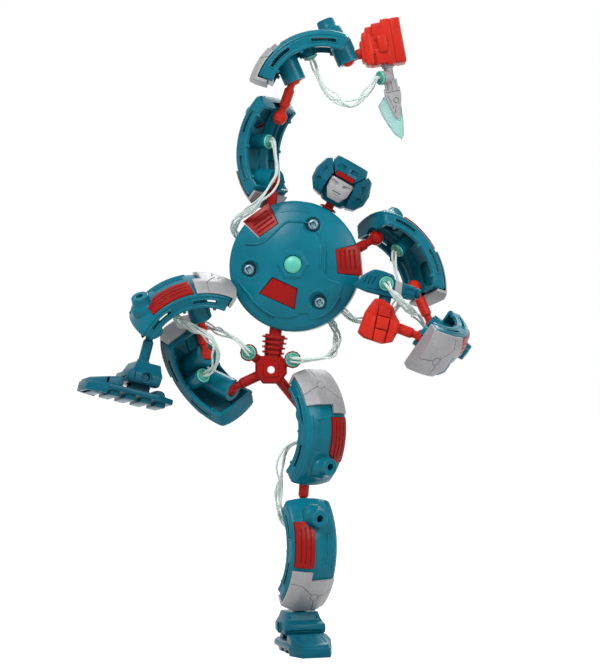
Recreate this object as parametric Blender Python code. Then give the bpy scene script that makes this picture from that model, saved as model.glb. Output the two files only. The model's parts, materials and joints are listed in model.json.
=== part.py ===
"""Ball-jointed toy robot standing on one foot: a disc torso, a petalled helmet, and eight curved limb
shells that hang on ball-ended links, with clear elastic strands between them.

Metres, +Z up. The origin is the middle of the standing foot's sole, and the robot faces -Y. The pose is
built up from that foot: each limb is placed by a ball in its socket and by the way it points.
"""

from collections import namedtuple
from math import acos, atan2, cos, degrees, hypot, pi, radians, sin, sqrt

import bmesh
import bpy
from mathutils import Matrix, Vector

MM = 0.001

# ---- Fits -------------------------------------------------------------------------------------------
GAP = 0.3 * MM          # between pieces that touch
BALL_PLAY = 0.3 * MM    # between a ball and its cup
MERGE = 0.002 * MM      # corners this close are one corner
FLAT = 0.002            # radians between faces that count as one flat

# ---- Balls, cups and links --------------------------------------------------------------------------
BALL_R = 4.2 * MM
NECK_R = 2.1 * MM       # where a rod meets its ball
ROD_R = 2.9 * MM
ROD_CLEAR = 3.0 * MM    # from a ball to where its rod is thick
NOTCH_CLEAR = 1.3 * MM  # round a rod where it leaves through an end wall
CUP_R = 6.2 * MM        # outside of a socket post
CUP_LIP = 2.2 * MM      # how far the cup reaches past the ball's centre
LINK = 23.5 * MM        # between the two balls of an elbow or knee link

# ---- Limb shells ------------------------------------------------------------------------------------
CROWN_R = 39.0 * MM     # the ball that the folded limbs make up
HALF_WIDTH = 13.5 * MM
RIM_R = 28.6 * MM       # inner edge of the side walls
WALL = 2.0 * MM
SIDE_WALL = 1.7 * MM
END_WALL = 3.2          # degrees of arc
ARC_STEP = 14.0         # degrees of arc to a facet
BALL_DEPTH = 18.0 * MM  # ball centre's height over the shell's own centre
SLOT_R = (31.6 * MM, 33.4 * MM)
SLOT_ARC = 24.0
NUB_R = 1.2 * MM
NUB_LONG = 1.5 * MM
POST_R = 5.4 * MM
POST_TOP = 40.6 * MM
POST_ARC = 30.0         # degrees back from the middle of the arc
POST_HOLE_R = 2.0 * MM
POST_HOLE_DEEP = 7.0 * MM
CAP_THICK = 2.2 * MM
CAP_ARC = 15.0          # where the cap starts, in degrees from the middle
CAP_END_R = 31.5 * MM   # how far its end plate comes down
PANEL_ARC = (-26.0, 12.0)
PANEL_WIDTH = (1.6 * MM, 12.2 * MM)
PANEL_LONG_END = -13.0 * MM   # where the panel starts to narrow to its point
PANEL_SUNK = 0.8 * MM
PANEL_PROUD = 0.8 * MM
BOSS_R = 4.3 * MM       # holds a strand's plug inside a shell
BOSS_DEEP = 7.0 * MM
BOSS = (-4.0 * MM, 0.0, 25.5 * MM)
TILTED_BOSS = (0.4 * MM, -7.2 * MM, 18.0 * MM)

# ---- Torso ------------------------------------------------------------------------------------------
DISC_R = 36.0 * MM
DOME = 12.5 * MM        # front dome over the split plane
BACK_DOME = 9.5 * MM
RIM = 5.0 * MM          # height of the straight rim on each side of the split
DISC_WALL = 2.2 * MM
LENS_R = 4.9 * MM
LENS_RING_R = 8.3 * MM
LENS_PIN_R = 1.8 * MM
SCREW_PITCH_R = 24.7 * MM
SCREW_R = 2.7 * MM
SCREW_SEAT_R = 4.3 * MM
SCREW_ANGLES = (65.0, 185.0, 305.0)
SHANK_R = 1.3 * MM
SHANK_DEEP = 4.5 * MM
SHOULDER_IN = 23.5 * MM
SHOULDER_HALF = (6.4 * MM, 8.6 * MM)
SHOULDER_ANGLES = {"right": 126.0, "left": 5.0}
SHOULDER_ROOT_R = 31.0 * MM
SHOULDER_ROOTS = {"right": 116.0, "left": 14.0}
SHOULDER_BALLS = {"right": Vector((-11.8, 4.0, 47.6)) * MM, "left": Vector((44.4, 0.0, 15.6)) * MM}
WINDOW_ANGLE = 245.6
WINDOW_IN = 11.0 * MM
WINDOW_OUT = 21.6 * MM
WINDOW_HALF = (7.4 * MM, 10.6 * MM)
ANCHOR_R = 25.0 * MM
ANCHOR_TALL = 2.0 * MM
ANCHOR_ANGLES = (154.0, 292.0, 318.0)

# ---- Neck and head ----------------------------------------------------------------------------------
NECK_ANGLE = 60.6
NECK_POST_R = 3.4 * MM
NECK_LONG = 6.0 * MM
NECK_BALL_R = 3.6 * MM
HEAD_R = 16.6 * MM
NECK_IN_HEAD = Vector((0.0, 0.0, -10.0)) * MM
HEAD_CORE_R = 13.6 * MM
PETAL_OUT = 17.6 * MM    # the ball that the petals' outsides lie on
PETAL_IN = 11.0 * MM
# Each petal's outline as the face looks at it, in millimetres: the crown's, then one cheek's.
CROWN_PETAL = ((-9.2, 12.6), (9.2, 12.6), (10.2, 9.2), (5.6, 2.2), (-5.6, 2.2), (-10.2, 9.2))
CHEEK_PETAL = ((11.2, 9.8), (14.2, 8.2), (16.6, 1.2), (16.2, -4.6), (12.6, -9.8), (8.0, -11.0),
               (7.6, -2.0), (6.6, 2.2))
CROWN_WINDOWS = (-4.3, 3.7)
FACE_HALF = 7.0 * MM
FACE_TOP = 1.0 * MM
FACE_LOW = -10.5 * MM
FACE_SEAT = -9.5 * MM
BROW_HALF = 5.4 * MM
BROW_TALL = 1.2 * MM
BROW_HIGH = 3.2 * MM

# ---- Hands, dagger and blaster ----------------------------------------------------------------------
FIST = (22.4 * MM, 17.0 * MM, 25.0 * MM)
# The fist's three steps, from the fingers back to the wrist: (size, middle).
FIST_STEPS = (
    (Vector((12.4, 15.6, 25.0)) * MM, Vector((4.2, 0.0, 0.0)) * MM, 1.4 * MM),
    (Vector((9.6, 17.0, 20.0)) * MM, Vector((-2.6, 0.0, -1.0)) * MM, 1.6 * MM),
    (Vector((7.6, 14.0, 16.0)) * MM, Vector((-8.2, 0.0, -2.4)) * MM, 2.2 * MM),
)
KNUCKLE_SEAM = 0.9 * MM
GRIP_R = 3.4 * MM
# Each fist's middle from its wrist ball, and the way up its grip.
FISTS = {"right": (Vector((20.0, 0.0, 8.4)) * MM, (-0.18, 0.0, 0.98)),
         "left": (Vector((-22.6, 0.0, 8.6)) * MM, (0.20, 0.0, 0.98))}
HILT_LONG = 26.0 * MM    # from the middle of the fist to the guard
HILT_PLUG = 6.0 * MM     # the side boss for a plug, below the fist
GUARD = (9.0 * MM, 6.6 * MM, 3.4 * MM)
CLASP_LONG = 12.0 * MM   # the two tongues that hold the blade between them
CLASP_THICK = 1.2 * MM
TANG = (3.0 * MM, 1.8 * MM, 6.0 * MM)
BLADE_LONG = 24.8 * MM
BLADE_WIDE = 12.4 * MM
BLADE_THICK = 3.0 * MM
# The blade's edge as shares of its width and length, from the belly's side round to its back.
BLADE_EDGE = ((-0.42, 0.0), (-0.73, 0.18), (-0.66, 0.38), (-0.49, 0.60), (-0.20, 0.90), (0.02, 1.0),
              (0.15, 0.92), (0.25, 0.62), (0.28, 0.30), (0.25, 0.0))
BLASTER = (34.0 * MM, 10.0 * MM, 13.0 * MM)
BLASTER_BASE = FIST[2] / 2 + 1.4 * MM

# ---- Pelvis -----------------------------------------------------------------------------------------
HUB = (17.4 * MM, 15.3 * MM, 9.0 * MM)
HUB_FACE = (10.8 * MM, 10.2 * MM, 10.8 * MM)   # the raised square round the hole
HUB_HOLE_R = 2.05 * MM
HUB_FROM_HIP = Vector((-19.8, -5.7, 24.5)) * MM
RIGHT_HIP_FROM_HUB = Vector((-22.6, 1.0, -10.5)) * MM
WAIST_ANGLE = 253.0
WAIST_POST_R = 3.5 * MM
WAIST_FLANGE = 0.9 * MM
COLUMN = 22.5 * MM      # from the hub's middle to the torso's rim
PELVIS_SOCKETS = {"right": Vector((-12.2, -5.5, 9.4)) * MM, "left": Vector((11.9, -5.5, 5.6)) * MM}

# ---- Feet -------------------------------------------------------------------------------------------
ANKLE = (23.4 * MM, 18.0 * MM, 12.2 * MM)
ANKLE_ROD = 18.85 * MM  # ball centre to the block's top
FOOT = (24.4 * MM, 50.0 * MM)
FOOT_THICK = 3.2 * MM
FOOT_TURN = radians(17.0)
FOOT_BACK = -6.0 * MM
TREAD = 2.6 * MM
TOE_RISE = 5.0 * MM
TOE_START = -5.6 * MM     # where the toe's slope starts, in front of the ankle
HEEL_BUMP_R = 3.0 * MM
TONGUE = 8.0 * MM         # the foot's upright, between the ankle's two cheeks
TONGUE_R = 4.0 * MM
SLOT_FRONT = 7.4 * MM     # how far the tongue's slot reaches in front of the pin
FOOT_PIN_R = 2.0 * MM
FOOT_PIN_SHORT = 1.6 * MM   # how far the pin's ends lie under the ankle's sides
ANKLE_EYE_R = 3.5 * MM      # the raised ring round each end of the pin
ANKLE_PIN_LOW = 2.5 * MM   # the block's middle over its pins
PIN_HIGH = 7.6 * MM       # the hinge over the deck
KNEE_RIGHT_WAY = (-0.11, -0.30, 0.95)
KNEE_LEFT_WAY = (0.07, 0.0, 1.0)
ELBOW_RIGHT_WAY = (0.32, -0.33, 0.89)
ELBOW_LEFT_WAY = (0.42, 0.0, -0.91)
RIGHT_ANKLE_WAY = (-0.25, 0.0, -0.97)
FOOT_HINGE = Vector((0, -FOOT_BACK, TREAD + FOOT_THICK + PIN_HIGH))
RIGHT_FOOT_ACROSS = (0.42, -0.90, 0.10)
RIGHT_HEEL_WAY = (0.90, 0.35, -0.24)

# ---- Plugs and strands ------------------------------------------------------------------------------
PLUG_STEM_R = 2.4 * MM
PLUG_R = 4.0 * MM
PLUG_HEAD = 1.8 * MM
PLUG_DEEP = 3.6 * MM
STRAND_R = 1.9 * MM
# Each route's points lie between its two plugs, in millimetres.
ROUTES = {
    "forearm_right": [(9, -12, 312), (18, -14, 303), (27, -13, 300), (35, -11, 307)],
    "upper_arm_right": [(-13, -4, 264), (-18, -9, 254), (-26, -9, 245), (-35, 0, 239), (-38, 11, 233),
                        (-33, 16, 226)],
    "upper_arm_left": [(52, -7, 208), (53, -4, 195), (46, 6, 186), (30, 14, 183)],
    "forearm_left": [(66, -11, 178), (61, -17, 185), (57, -29, 188), (52, -36, 192), (48, -37, 197)],
    "waist": [(3, -10, 160), (15, -6, 163), (19, 6, 174), (14, 15, 184)],
    "pelvis_to_shin": [(-36, -9, 170), (-45, -4, 176), (-51, 2, 179), (-57, 3, 180), (-63, 0, 179.5),
                       (-68, -5, 180)],
    "thigh_to_shin": [(-49, -11, 157), (-47.5, -14.5, 166), (-52, -15, 174), (-60, -13.5, 178)],
    "standing_leg": [(-10, 2, 112), (-13, 4, 92), (-12, 6, 74)],
}

TEAL = ("teal_plastic", (0.012, 0.115, 0.165), 0.32, 0.0)
DEEP_TEAL = ("deep_teal_plastic", (0.010, 0.095, 0.140), 0.36, 0.0)
RED = ("red_plastic", (0.42, 0.022, 0.016), 0.38, 0.0)
SILVER = ("silver_paint", (0.42, 0.42, 0.43), 0.34, 0.65)
MINT = ("mint_rubber", (0.10, 0.47, 0.37), 0.30, 0.0)
BLADE = ("mint_clear_plastic", (0.35, 0.72, 0.66), 0.18, 0.0)
CLEAR = ("clear_rubber", (0.62, 0.68, 0.66), 0.25, 0.0)
STEEL = ("steel", (0.30, 0.32, 0.33), 0.35, 1.0)


# ---- Workshop ---------------------------------------------------------------------------------------
def unit(x, y, z):
    return Vector((x, y, z)).normalized()


def turn_of(outward, rightward):
    """The turn whose Z faces outward and whose X is as near to rightward as it can be."""
    z = Vector(outward).normalized()
    x = Vector(rightward)
    x = (x - x.dot(z) * z).normalized()
    return Matrix((x, z.cross(x), z)).transposed()


TORSO_TURN = turn_of((-0.093, -0.995, 0.048), (1.0, -0.093, 0.0))
COLUMN_WAY = unit(0.115, 0, 0.993)


def clear_scene():
    for thing in list(bpy.data.objects):
        bpy.data.objects.remove(thing)


def collection(name):
    made = bpy.data.collections.new(name)
    bpy.context.scene.collection.children.link(made)
    return made


def material(look):
    name, colour, roughness, metallic = look
    made = bpy.data.materials.get(name)
    if made is None:
        made = bpy.data.materials.new(name)
        made.use_nodes = True
        shader = made.node_tree.nodes["Principled BSDF"]
        shader.inputs["Base Color"].default_value = (*colour, 1.0)
        shader.inputs["Roughness"].default_value = roughness
        shader.inputs["Metallic"].default_value = metallic
    return made


def from_bmesh(shape, name="tool"):
    bmesh.ops.recalc_face_normals(shape, faces=shape.faces)
    mesh = bpy.data.meshes.new(name)
    shape.to_mesh(mesh)
    shape.free()
    made = bpy.data.objects.new(name, mesh)
    bpy.context.scene.collection.objects.link(made)
    return made


def bake(body):
    """Gives the object the mesh that its modifiers make, with its flat faces made whole again."""
    depsgraph = bpy.context.evaluated_depsgraph_get()
    mesh = bpy.data.meshes.new_from_object(body.evaluated_get(depsgraph))
    body.modifiers.clear()
    shape = bmesh.new()
    shape.from_mesh(mesh)
    bmesh.ops.remove_doubles(shape, verts=shape.verts, dist=MERGE)
    bmesh.ops.dissolve_limit(shape, angle_limit=FLAT, use_dissolve_boundaries=False,
                             verts=shape.verts, edges=shape.edges)
    bmesh.ops.triangulate(shape, faces=shape.faces)
    bmesh.ops.dissolve_degenerate(shape, edges=shape.edges, dist=MERGE)
    shape.to_mesh(mesh)
    shape.free()
    body.data = mesh
    return body


def boolean(body, tool, operation):
    step = body.modifiers.new(operation.lower(), "BOOLEAN")
    step.operation = operation
    step.object = tool
    bake(body)
    bpy.data.objects.remove(tool)
    return body


def join(body, *tools):
    for tool in tools:
        boolean(body, tool, "UNION")
    return body


def cut(body, *tools):
    for tool in tools:
        boolean(body, tool, "DIFFERENCE")
    return body


def keep(body, tool):
    return boolean(body, tool, "INTERSECT")


def aim(point, direction):
    """A placement at a point with its Z axis along a direction."""
    turn = Vector(direction).to_track_quat("Z", "Y").to_matrix().to_4x4()
    return Matrix.Translation(Vector(point)) @ turn


def rod(start, end, radius, end_radius=None, sides=16):
    """A cylinder or cone between two points."""
    start, end = Vector(start), Vector(end)
    shape = bmesh.new()
    bmesh.ops.create_cone(
        shape, cap_ends=True, segments=sides, radius1=radius,
        radius2=radius if end_radius is None else end_radius, depth=(end - start).length,
        matrix=aim((start + end) / 2, end - start))
    return from_bmesh(shape)


def ball(centre, radius, sides=16, axis=(0, 0, 1)):
    shape = bmesh.new()
    bmesh.ops.create_uvsphere(
        shape, u_segments=sides, v_segments=sides // 2, radius=radius, matrix=aim(centre, axis))
    return from_bmesh(shape)


def block(size, place=None, bevel=0.0, segments=1):
    """A box, with its edges rounded where a bevel is given."""
    shape = bmesh.new()
    bmesh.ops.create_cube(shape, size=1.0, matrix=Matrix.Diagonal((*size, 1.0)))
    if bevel:
        bmesh.ops.bevel(shape, geom=list(shape.edges), offset=bevel, segments=segments,
                        affect="EDGES", profile=0.5, clamp_overlap=True)
    if place is not None:
        bmesh.ops.transform(shape, matrix=place, verts=shape.verts)
    return from_bmesh(shape)


def turned(profile, place=None, sides=24):
    """A solid turned about Z from (radius, height) points that run top to bottom on its outer side."""
    shape = bmesh.new()
    verts = [shape.verts.new((r, 0.0, z)) for r, z in profile]
    for a, b in zip(verts, verts[1:]):
        shape.edges.new((a, b))
    bmesh.ops.spin(shape, geom=list(shape.verts) + list(shape.edges), cent=(0, 0, 0), axis=(0, 0, 1),
                   angle=2 * pi, steps=sides, use_merge=True)
    bmesh.ops.remove_doubles(shape, verts=shape.verts, dist=0.00001)
    if place is not None:
        bmesh.ops.transform(shape, matrix=place, verts=shape.verts)
    return from_bmesh(shape)


def plate(outline, thickness, place=None, bevel=0.0):
    """A flat outline in XY, made thick by half each way along Z."""
    shape = bmesh.new()
    verts = [shape.verts.new((x, y, -thickness / 2)) for x, y in outline]
    face = shape.faces.new(verts)
    raised = bmesh.ops.extrude_face_region(shape, geom=[face])
    moved = [v for v in raised["geom"] if isinstance(v, bmesh.types.BMVert)]
    bmesh.ops.translate(shape, vec=(0, 0, thickness), verts=moved)
    if bevel:
        flat = [e for e in shape.edges if abs(e.verts[0].co.z - e.verts[1].co.z) < thickness / 2]
        bmesh.ops.bevel(shape, geom=flat, offset=bevel, segments=1, affect="EDGES", profile=0.5,
                        clamp_overlap=True)
    if place is not None:
        bmesh.ops.transform(shape, matrix=place, verts=shape.verts)
    return from_bmesh(shape)


def swept(profile, start, end, steps):
    """A closed (across, radius) section swept about Y, in degrees from +Z towards +X."""
    shape = bmesh.new()
    face = shape.faces.new([shape.verts.new((0.0, w, r)) for w, r in profile])
    turn = Matrix.Rotation(radians(start), 3, "Y")
    bmesh.ops.rotate(shape, cent=(0, 0, 0), matrix=turn, verts=shape.verts)
    bmesh.ops.spin(shape, geom=[face] + list(shape.edges) + list(shape.verts), cent=(0, 0, 0),
                   axis=(0, 1, 0), angle=radians(end - start), steps=steps)
    return from_bmesh(shape)


def finish(body, name, look, place=None, smooth=35.0):
    """Names a piece, colours it, shades it and puts it in the part's collection."""
    body.name = name
    body.data.name = name
    body.data.materials.clear()
    body.data.materials.append(material(look))
    body.data.shade_smooth()
    body.data.set_sharp_from_angle(angle=radians(smooth))
    bpy.context.scene.collection.objects.unlink(body)
    ROBOT.objects.link(body)
    if place is not None:
        body.matrix_world = place
    return body


def pivot(name, point, pieces, carrier=None):
    """An empty on a joint's axis, which carries the pieces that turn there."""
    empty = bpy.data.objects.new(name, None)
    empty.empty_display_size = 5 * MM
    ROBOT.objects.link(empty)
    empty.parent = carrier
    empty.location = point if carrier is None else point - carrier.matrix_world.translation
    bpy.context.view_layer.update()
    for piece in pieces:
        piece.parent = empty
        piece.matrix_parent_inverse = empty.matrix_world.inverted()
    return empty


# ---- Limb shells ------------------------------------------------------------------------------------
# cap and tail are the (along, outward) places of the two balls; tilt leans the tail's cup to the end;
# boss is where a strand's plug sits inside.
Limb = namedtuple("Limb", "name side along outward half_arc cap tail tilt boss")


def limb_frame(limb, ball_point, at_cap):
    """Where a limb lies, from the ball that holds it. X runs to its capped end and Z is its outside."""
    x = Vector(limb.along).normalized()
    z = Vector(limb.outward)
    z = (z - z.dot(x) * x).normalized()
    y = z.cross(x)
    turn = Matrix((x, y, z)).transposed()
    return Matrix.Translation(Vector(ball_point) - turn @ ball_spot(limb, at_cap)) @ turn.to_4x4()


def ball_spot(limb, at_cap):
    """A ball's centre in the limb's own frame."""
    along, outward = limb.cap if at_cap else limb.tail
    return Vector((along, 0.0, outward))


def crown(radius, half, count):
    """Points (across, radius) over the round top of a section."""
    spots = [half * (2 * i / (count - 1) - 1) for i in range(count)]
    return [(w, sqrt(radius * radius - w * w)) for w in spots]


def shell_blank(limb):
    chamfer = 0.8 * MM
    top = crown(CROWN_R, HALF_WIDTH - chamfer, 4)
    edge = sqrt(CROWN_R ** 2 - HALF_WIDTH ** 2) - chamfer
    profile = [(-HALF_WIDTH, RIM_R), (-HALF_WIDTH, edge)] + top + [(HALF_WIDTH, edge), (HALF_WIDTH, RIM_R)]
    steps = round(2 * limb.half_arc / ARC_STEP)
    return swept(profile, -limb.half_arc, limb.half_arc, steps)


def shell_pocket(limb):
    half = HALF_WIDTH - SIDE_WALL
    low = RIM_R - 3 * MM
    profile = [(-half, low)] + crown(CROWN_R - WALL, half, 3) + [(half, low)]
    arc = limb.half_arc - END_WALL
    return swept(profile, -arc, arc, round(2 * arc / ARC_STEP))


def side_slot(start, end):
    """One long slot through both side walls."""
    half = HALF_WIDTH + MM
    profile = [(-half, SLOT_R[0]), (-half, SLOT_R[1]), (half, SLOT_R[1]), (half, SLOT_R[0])]
    return swept(profile, start, end, 2)


def rim_nubs(limb):
    """Small pegs on the rims, which snap into the next limb when the robot is folded."""
    made = []
    for side in (-1, 1):
        for turn in (-0.74, 0.74):
            angle = radians(limb.half_arc * turn)
            way = Vector((sin(angle), 0.0, cos(angle)))
            across = Vector((0.0, side * (HALF_WIDTH - SIDE_WALL / 2), 0.0))
            root = across + way * (RIM_R + MM)
            made.append(rod(root, across + way * (RIM_R - NUB_LONG), NUB_R, NUB_R * 0.8, sides=6))
    return made


def socket_way(limb, at_cap):
    """The way a socket's mouth faces, in the limb's own frame."""
    if at_cap or not limb.tilt:
        return Vector((0.0, 0.0, -1.0))
    tilt = radians(limb.tilt)
    return Vector((-sin(tilt), 0.0, -cos(tilt)))


def add_socket(shell, limb, at_cap, rod_way):
    """A post with a cup for a ball, slotted on the side that the rod leans to."""
    centre = ball_spot(limb, at_cap)
    mouth = socket_way(limb, at_cap)
    post = rod(centre - mouth * 28 * MM, centre + mouth * CUP_LIP, CUP_R, sides=12)
    keep(post, ball((0, 0, 0), CROWN_R - WALL / 2, sides=24, axis=(0, 1, 0)))
    join(shell, post)
    cut(shell, ball(centre, (BALL_R + BALL_PLAY) / cos(pi / 10), sides=10, axis=mouth))
    lean = degrees(acos(max(-1.0, min(1.0, mouth.dot(rod_way)))))
    side = rod_way - rod_way.dot(mouth) * mouth
    if side.length < 0.3:
        side = Vector((1.0 if at_cap else -1.0, 0.0, 0.0))
        side = side - side.dot(mouth) * mouth
    side.normalize()
    low = -3.6 * MM if lean > 62 else -0.6 * MM
    high = CUP_LIP + 2 * MM
    width = 2 * (NECK_R + 0.6 * MM)
    long = CUP_R + 2 * MM
    turn = Matrix((side, mouth.cross(side), mouth)).transposed().to_4x4()
    middle = centre + side * (long / 2) + mouth * ((low + high) / 2)
    cut(shell, block((long, width, high - low), Matrix.Translation(middle) @ turn))


def end_notch(limb, at_cap, rod_way):
    """Lets a rod leave through the end wall."""
    centre = ball_spot(limb, at_cap)
    clear = ROD_R + NOTCH_CLEAR
    start = centre + rod_way * (BALL_R + 1 * MM)
    return rod(start, start + rod_way * 30 * MM, clear, clear * 1.5, sides=8)


def in_frame(frame, way):
    """A world direction as it is seen from a placed piece."""
    return frame.to_3x3().inverted() @ Vector(way).normalized()


def make_shell(limb, frame, rods):
    """One moulded limb shell with its sockets, slots, nubs, plug boss and post."""
    shell = cut(shell_blank(limb), shell_pocket(limb))
    for start in (-SLOT_ARC - 13.0, 10.0):
        cut(shell, side_slot(start, start + SLOT_ARC))
    join(shell, *rim_nubs(limb))
    boss, up = Vector(limb.boss), Vector((0, 0, 1))
    crown_high = sqrt((CROWN_R - WALL) ** 2 - boss.x ** 2) - boss.z
    join(shell, rod(boss, boss + up * crown_high, BOSS_R, sides=10))
    add_post(shell, limb)
    cut(shell, panel_blank(GAP, PANEL_SUNK + GAP, 3 * MM))
    for at_cap, way in rods.items():
        cut(shell, end_notch(limb, at_cap, in_frame(frame, way)))
    for at_cap, way in rods.items():
        add_socket(shell, limb, at_cap, in_frame(frame, way))
    cut(shell, rod(boss - up * BOSS_DEEP, boss + up * BOSS_DEEP, PLUG_STEM_R + GAP, sides=8))
    return finish(shell, limb.name + "_shell_" + limb.side, TEAL, frame)


def add_post(shell, limb):
    """The hollow post on the outside, near the end without a cap."""
    angle = radians(-POST_ARC)
    foot = Vector((sin(angle), 0.0, cos(angle))) * (CROWN_R - WALL / 2)
    top = Vector((foot.x, 0.0, POST_TOP))
    join(shell, rod(foot - Vector((0, 0, MM)), top, POST_R, POST_R * 0.88, sides=10))
    cut(shell, rod(top - Vector((0, 0, POST_HOLE_DEEP)), top + Vector((0, 0, MM)), POST_HOLE_R, sides=8))


def panel_blank(margin, sunk, proud):
    """The panel's body, or with a margin the bed that it lies in."""
    low, high = -PANEL_WIDTH[1] - margin, -PANEL_WIDTH[0] + margin
    turn = degrees(margin / CROWN_R)
    base = CROWN_R - sunk
    top = CROWN_R + proud
    middle = (low + high) / 2
    profile = [(low, sqrt(base ** 2 - low ** 2)), (low, sqrt(top ** 2 - low ** 2)),
               (middle, sqrt(top ** 2 - middle ** 2)), (high, sqrt(top ** 2 - high ** 2)),
               (high, sqrt(base ** 2 - high ** 2)), (middle, sqrt(base ** 2 - middle ** 2))]
    panel = swept(profile, PANEL_ARC[0] - turn, PANEL_ARC[1] + turn, 3)
    post = CROWN_R * sin(radians(-POST_ARC))
    reach = POST_R + 1.4 * MM - margin
    cut(panel, rod((post, 0, 20 * MM), (post, 0, 60 * MM), reach, sides=8))
    corner = Matrix.Translation((PANEL_LONG_END - margin * 0.7, 0, 40 * MM))
    lean = Matrix.Rotation(radians(38), 4, "Z") @ Matrix.Translation((-6 * MM, 8 * MM, 0))
    cut(panel, block((12 * MM, 20 * MM, 30 * MM), corner @ lean))
    return panel


def make_panel(limb, frame):
    """The ribbed red panel that sits in the shell's crown."""
    panel = panel_blank(0.0, PANEL_SUNK, PANEL_PROUD)
    low, high = PANEL_WIDTH
    pitch = (high - low) / 4
    for i in (1, 2, 3):
        spot = -low - i * pitch
        r = sqrt((CROWN_R + PANEL_PROUD) ** 2 - spot ** 2)
        half, deep = 0.35 * MM, 0.45 * MM
        groove = [(spot - half, r - deep), (spot - half, r + MM), (spot + half, r + MM),
                  (spot + half, r - deep)]
        cut(panel, swept(groove, PANEL_ARC[0] + 3, PANEL_ARC[1] - 3, 3))
    return finish(panel, limb.name + "_panel_" + limb.side, RED, frame)


def make_cap(limb, frame, rods):
    """The silver cap over one end: a three-sided crown with an end plate."""
    half = HALF_WIDTH - 0.3 * MM
    flat = 6.5 * MM
    top = CROWN_R + CAP_THICK
    side = sqrt(CROWN_R ** 2 - half ** 2) + CAP_THICK * 0.5
    low = CAP_END_R
    profile = [(-half, low), (-half, side), (-flat, top), (flat, top), (half, side), (half, low)]
    end = limb.half_arc + 3.4
    cap = swept(profile, CAP_ARC, end, round((end - CAP_ARC) / ARC_STEP) + 1)
    inner = CROWN_R + GAP + 0.1 * MM
    hollow = [(-half - MM, low - MM)] + crown(inner, half + MM, 4) + [(half + MM, low - MM)]
    cut(cap, swept(hollow, CAP_ARC - 6, limb.half_arc + 0.6, 4))
    cut(cap, swept([(-2.5 * MM, 30 * MM), (-2.5 * MM, 50 * MM), (20 * MM, 50 * MM), (20 * MM, 30 * MM)],
                   CAP_ARC - 4, CAP_ARC + 7, 2))
    cut(cap, end_notch(limb, True, in_frame(frame, rods[True])))
    return finish(cap, limb.name + "_cap_" + limb.side, SILVER, frame)


# ---- Links ------------------------------------------------------------------------------------------
def ball_end(radius, neck, up):
    """The (radius, height) points of a ball that a rod runs into, from its tip to its neck."""
    stop = acos(neck / radius)
    steps = 4
    angles = [pi / 2 - (pi / 2 + stop) * i / steps for i in range(steps + 1)]
    return [(radius * cos(a) if i else 0.0, up * radius * sin(a)) for i, a in enumerate(angles)]


def make_link(name, start, end):
    """A double-ended ball link."""
    length = (Vector(end) - Vector(start)).length
    top = [(r, z + length / 2) for r, z in ball_end(BALL_R, NECK_R, 1)]
    waist = length / 2 - BALL_R - ROD_CLEAR
    profile = top + [(NECK_R, waist + MM), (ROD_R, waist), (ROD_R, -waist), (NECK_R, -waist - MM)]
    profile += [(r, -z) for r, z in reversed(top)]
    place = aim((Vector(start) + Vector(end)) / 2, Vector(end) - Vector(start))
    return finish(turned(profile, sides=12), name, RED, place)


def ball_stem(ball_point, end, root_r=ROD_R, tip_r=BALL_R):
    """A ball on a rod, from the ball's centre to a point inside the piece that it grows from."""
    way = Vector(end) - Vector(ball_point)
    length = way.length
    top = [(r, z) for r, z in ball_end(tip_r, NECK_R, 1)]
    profile = top + [(NECK_R, -tip_r - ROD_CLEAR + MM), (root_r, -tip_r - ROD_CLEAR), (root_r, -length),
                     (0.0, -length)]
    return turned(profile, aim(ball_point, -way), sides=12)


# ---- Torso ------------------------------------------------------------------------------------------
def disc_spot(radius, angle, height=0.0):
    """A point on the torso's disc, in degrees from the robot's left."""
    turn = radians(angle)
    return Vector((radius * cos(turn), radius * sin(turn), height))


def on_disc(angle, radius=0.0, height=0.0):
    """A placement on the disc with X pointing outward."""
    return Matrix.Translation(disc_spot(radius, angle, height)) @ Matrix.Rotation(radians(angle), 4, "Z")


def dome_height(radius, dome):
    """Height of the dome's outside over the split between the two shells."""
    rise = dome - RIM
    sphere = (DISC_R ** 2 + rise ** 2) / (2 * rise)
    return sqrt(sphere ** 2 - radius ** 2) - (sphere - dome)


def dome_shell(dome):
    """Half of the torso: a turned dome with a straight rim, open at the split."""
    radii = [DISC_R * (i / 4) ** 0.8 for i in range(5)]
    inner_r = DISC_R - DISC_WALL
    outer = [(r, dome_height(r, dome)) for r in radii]
    inner = [(r, dome_height(r, dome) - DISC_WALL) for r in radii[:-1]]
    split = GAP / 2
    profile = outer + [(DISC_R, split), (inner_r, split), (inner_r, RIM - DISC_WALL * 0.6)] + inner[::-1]
    return turned(profile, sides=32)


def column_in_disc():
    """The way up the waist's column, as the torso's disc has it."""
    return TORSO_TURN.inverted() @ COLUMN_WAY


def shoulder_outline(margin):
    """The outline of a shoulder's wedge, or with a margin of the notch that it sits in."""
    inner, outer = SHOULDER_IN + GAP - margin, DISC_R + 0.6 * MM + margin * 8
    slope = (SHOULDER_HALF[1] - SHOULDER_HALF[0]) / (DISC_R - SHOULDER_IN)
    narrow = SHOULDER_HALF[0] + margin
    wide = narrow + slope * (outer - inner)
    return [(inner, -narrow), (outer, -wide), (outer, wide), (inner, narrow)]


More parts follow.
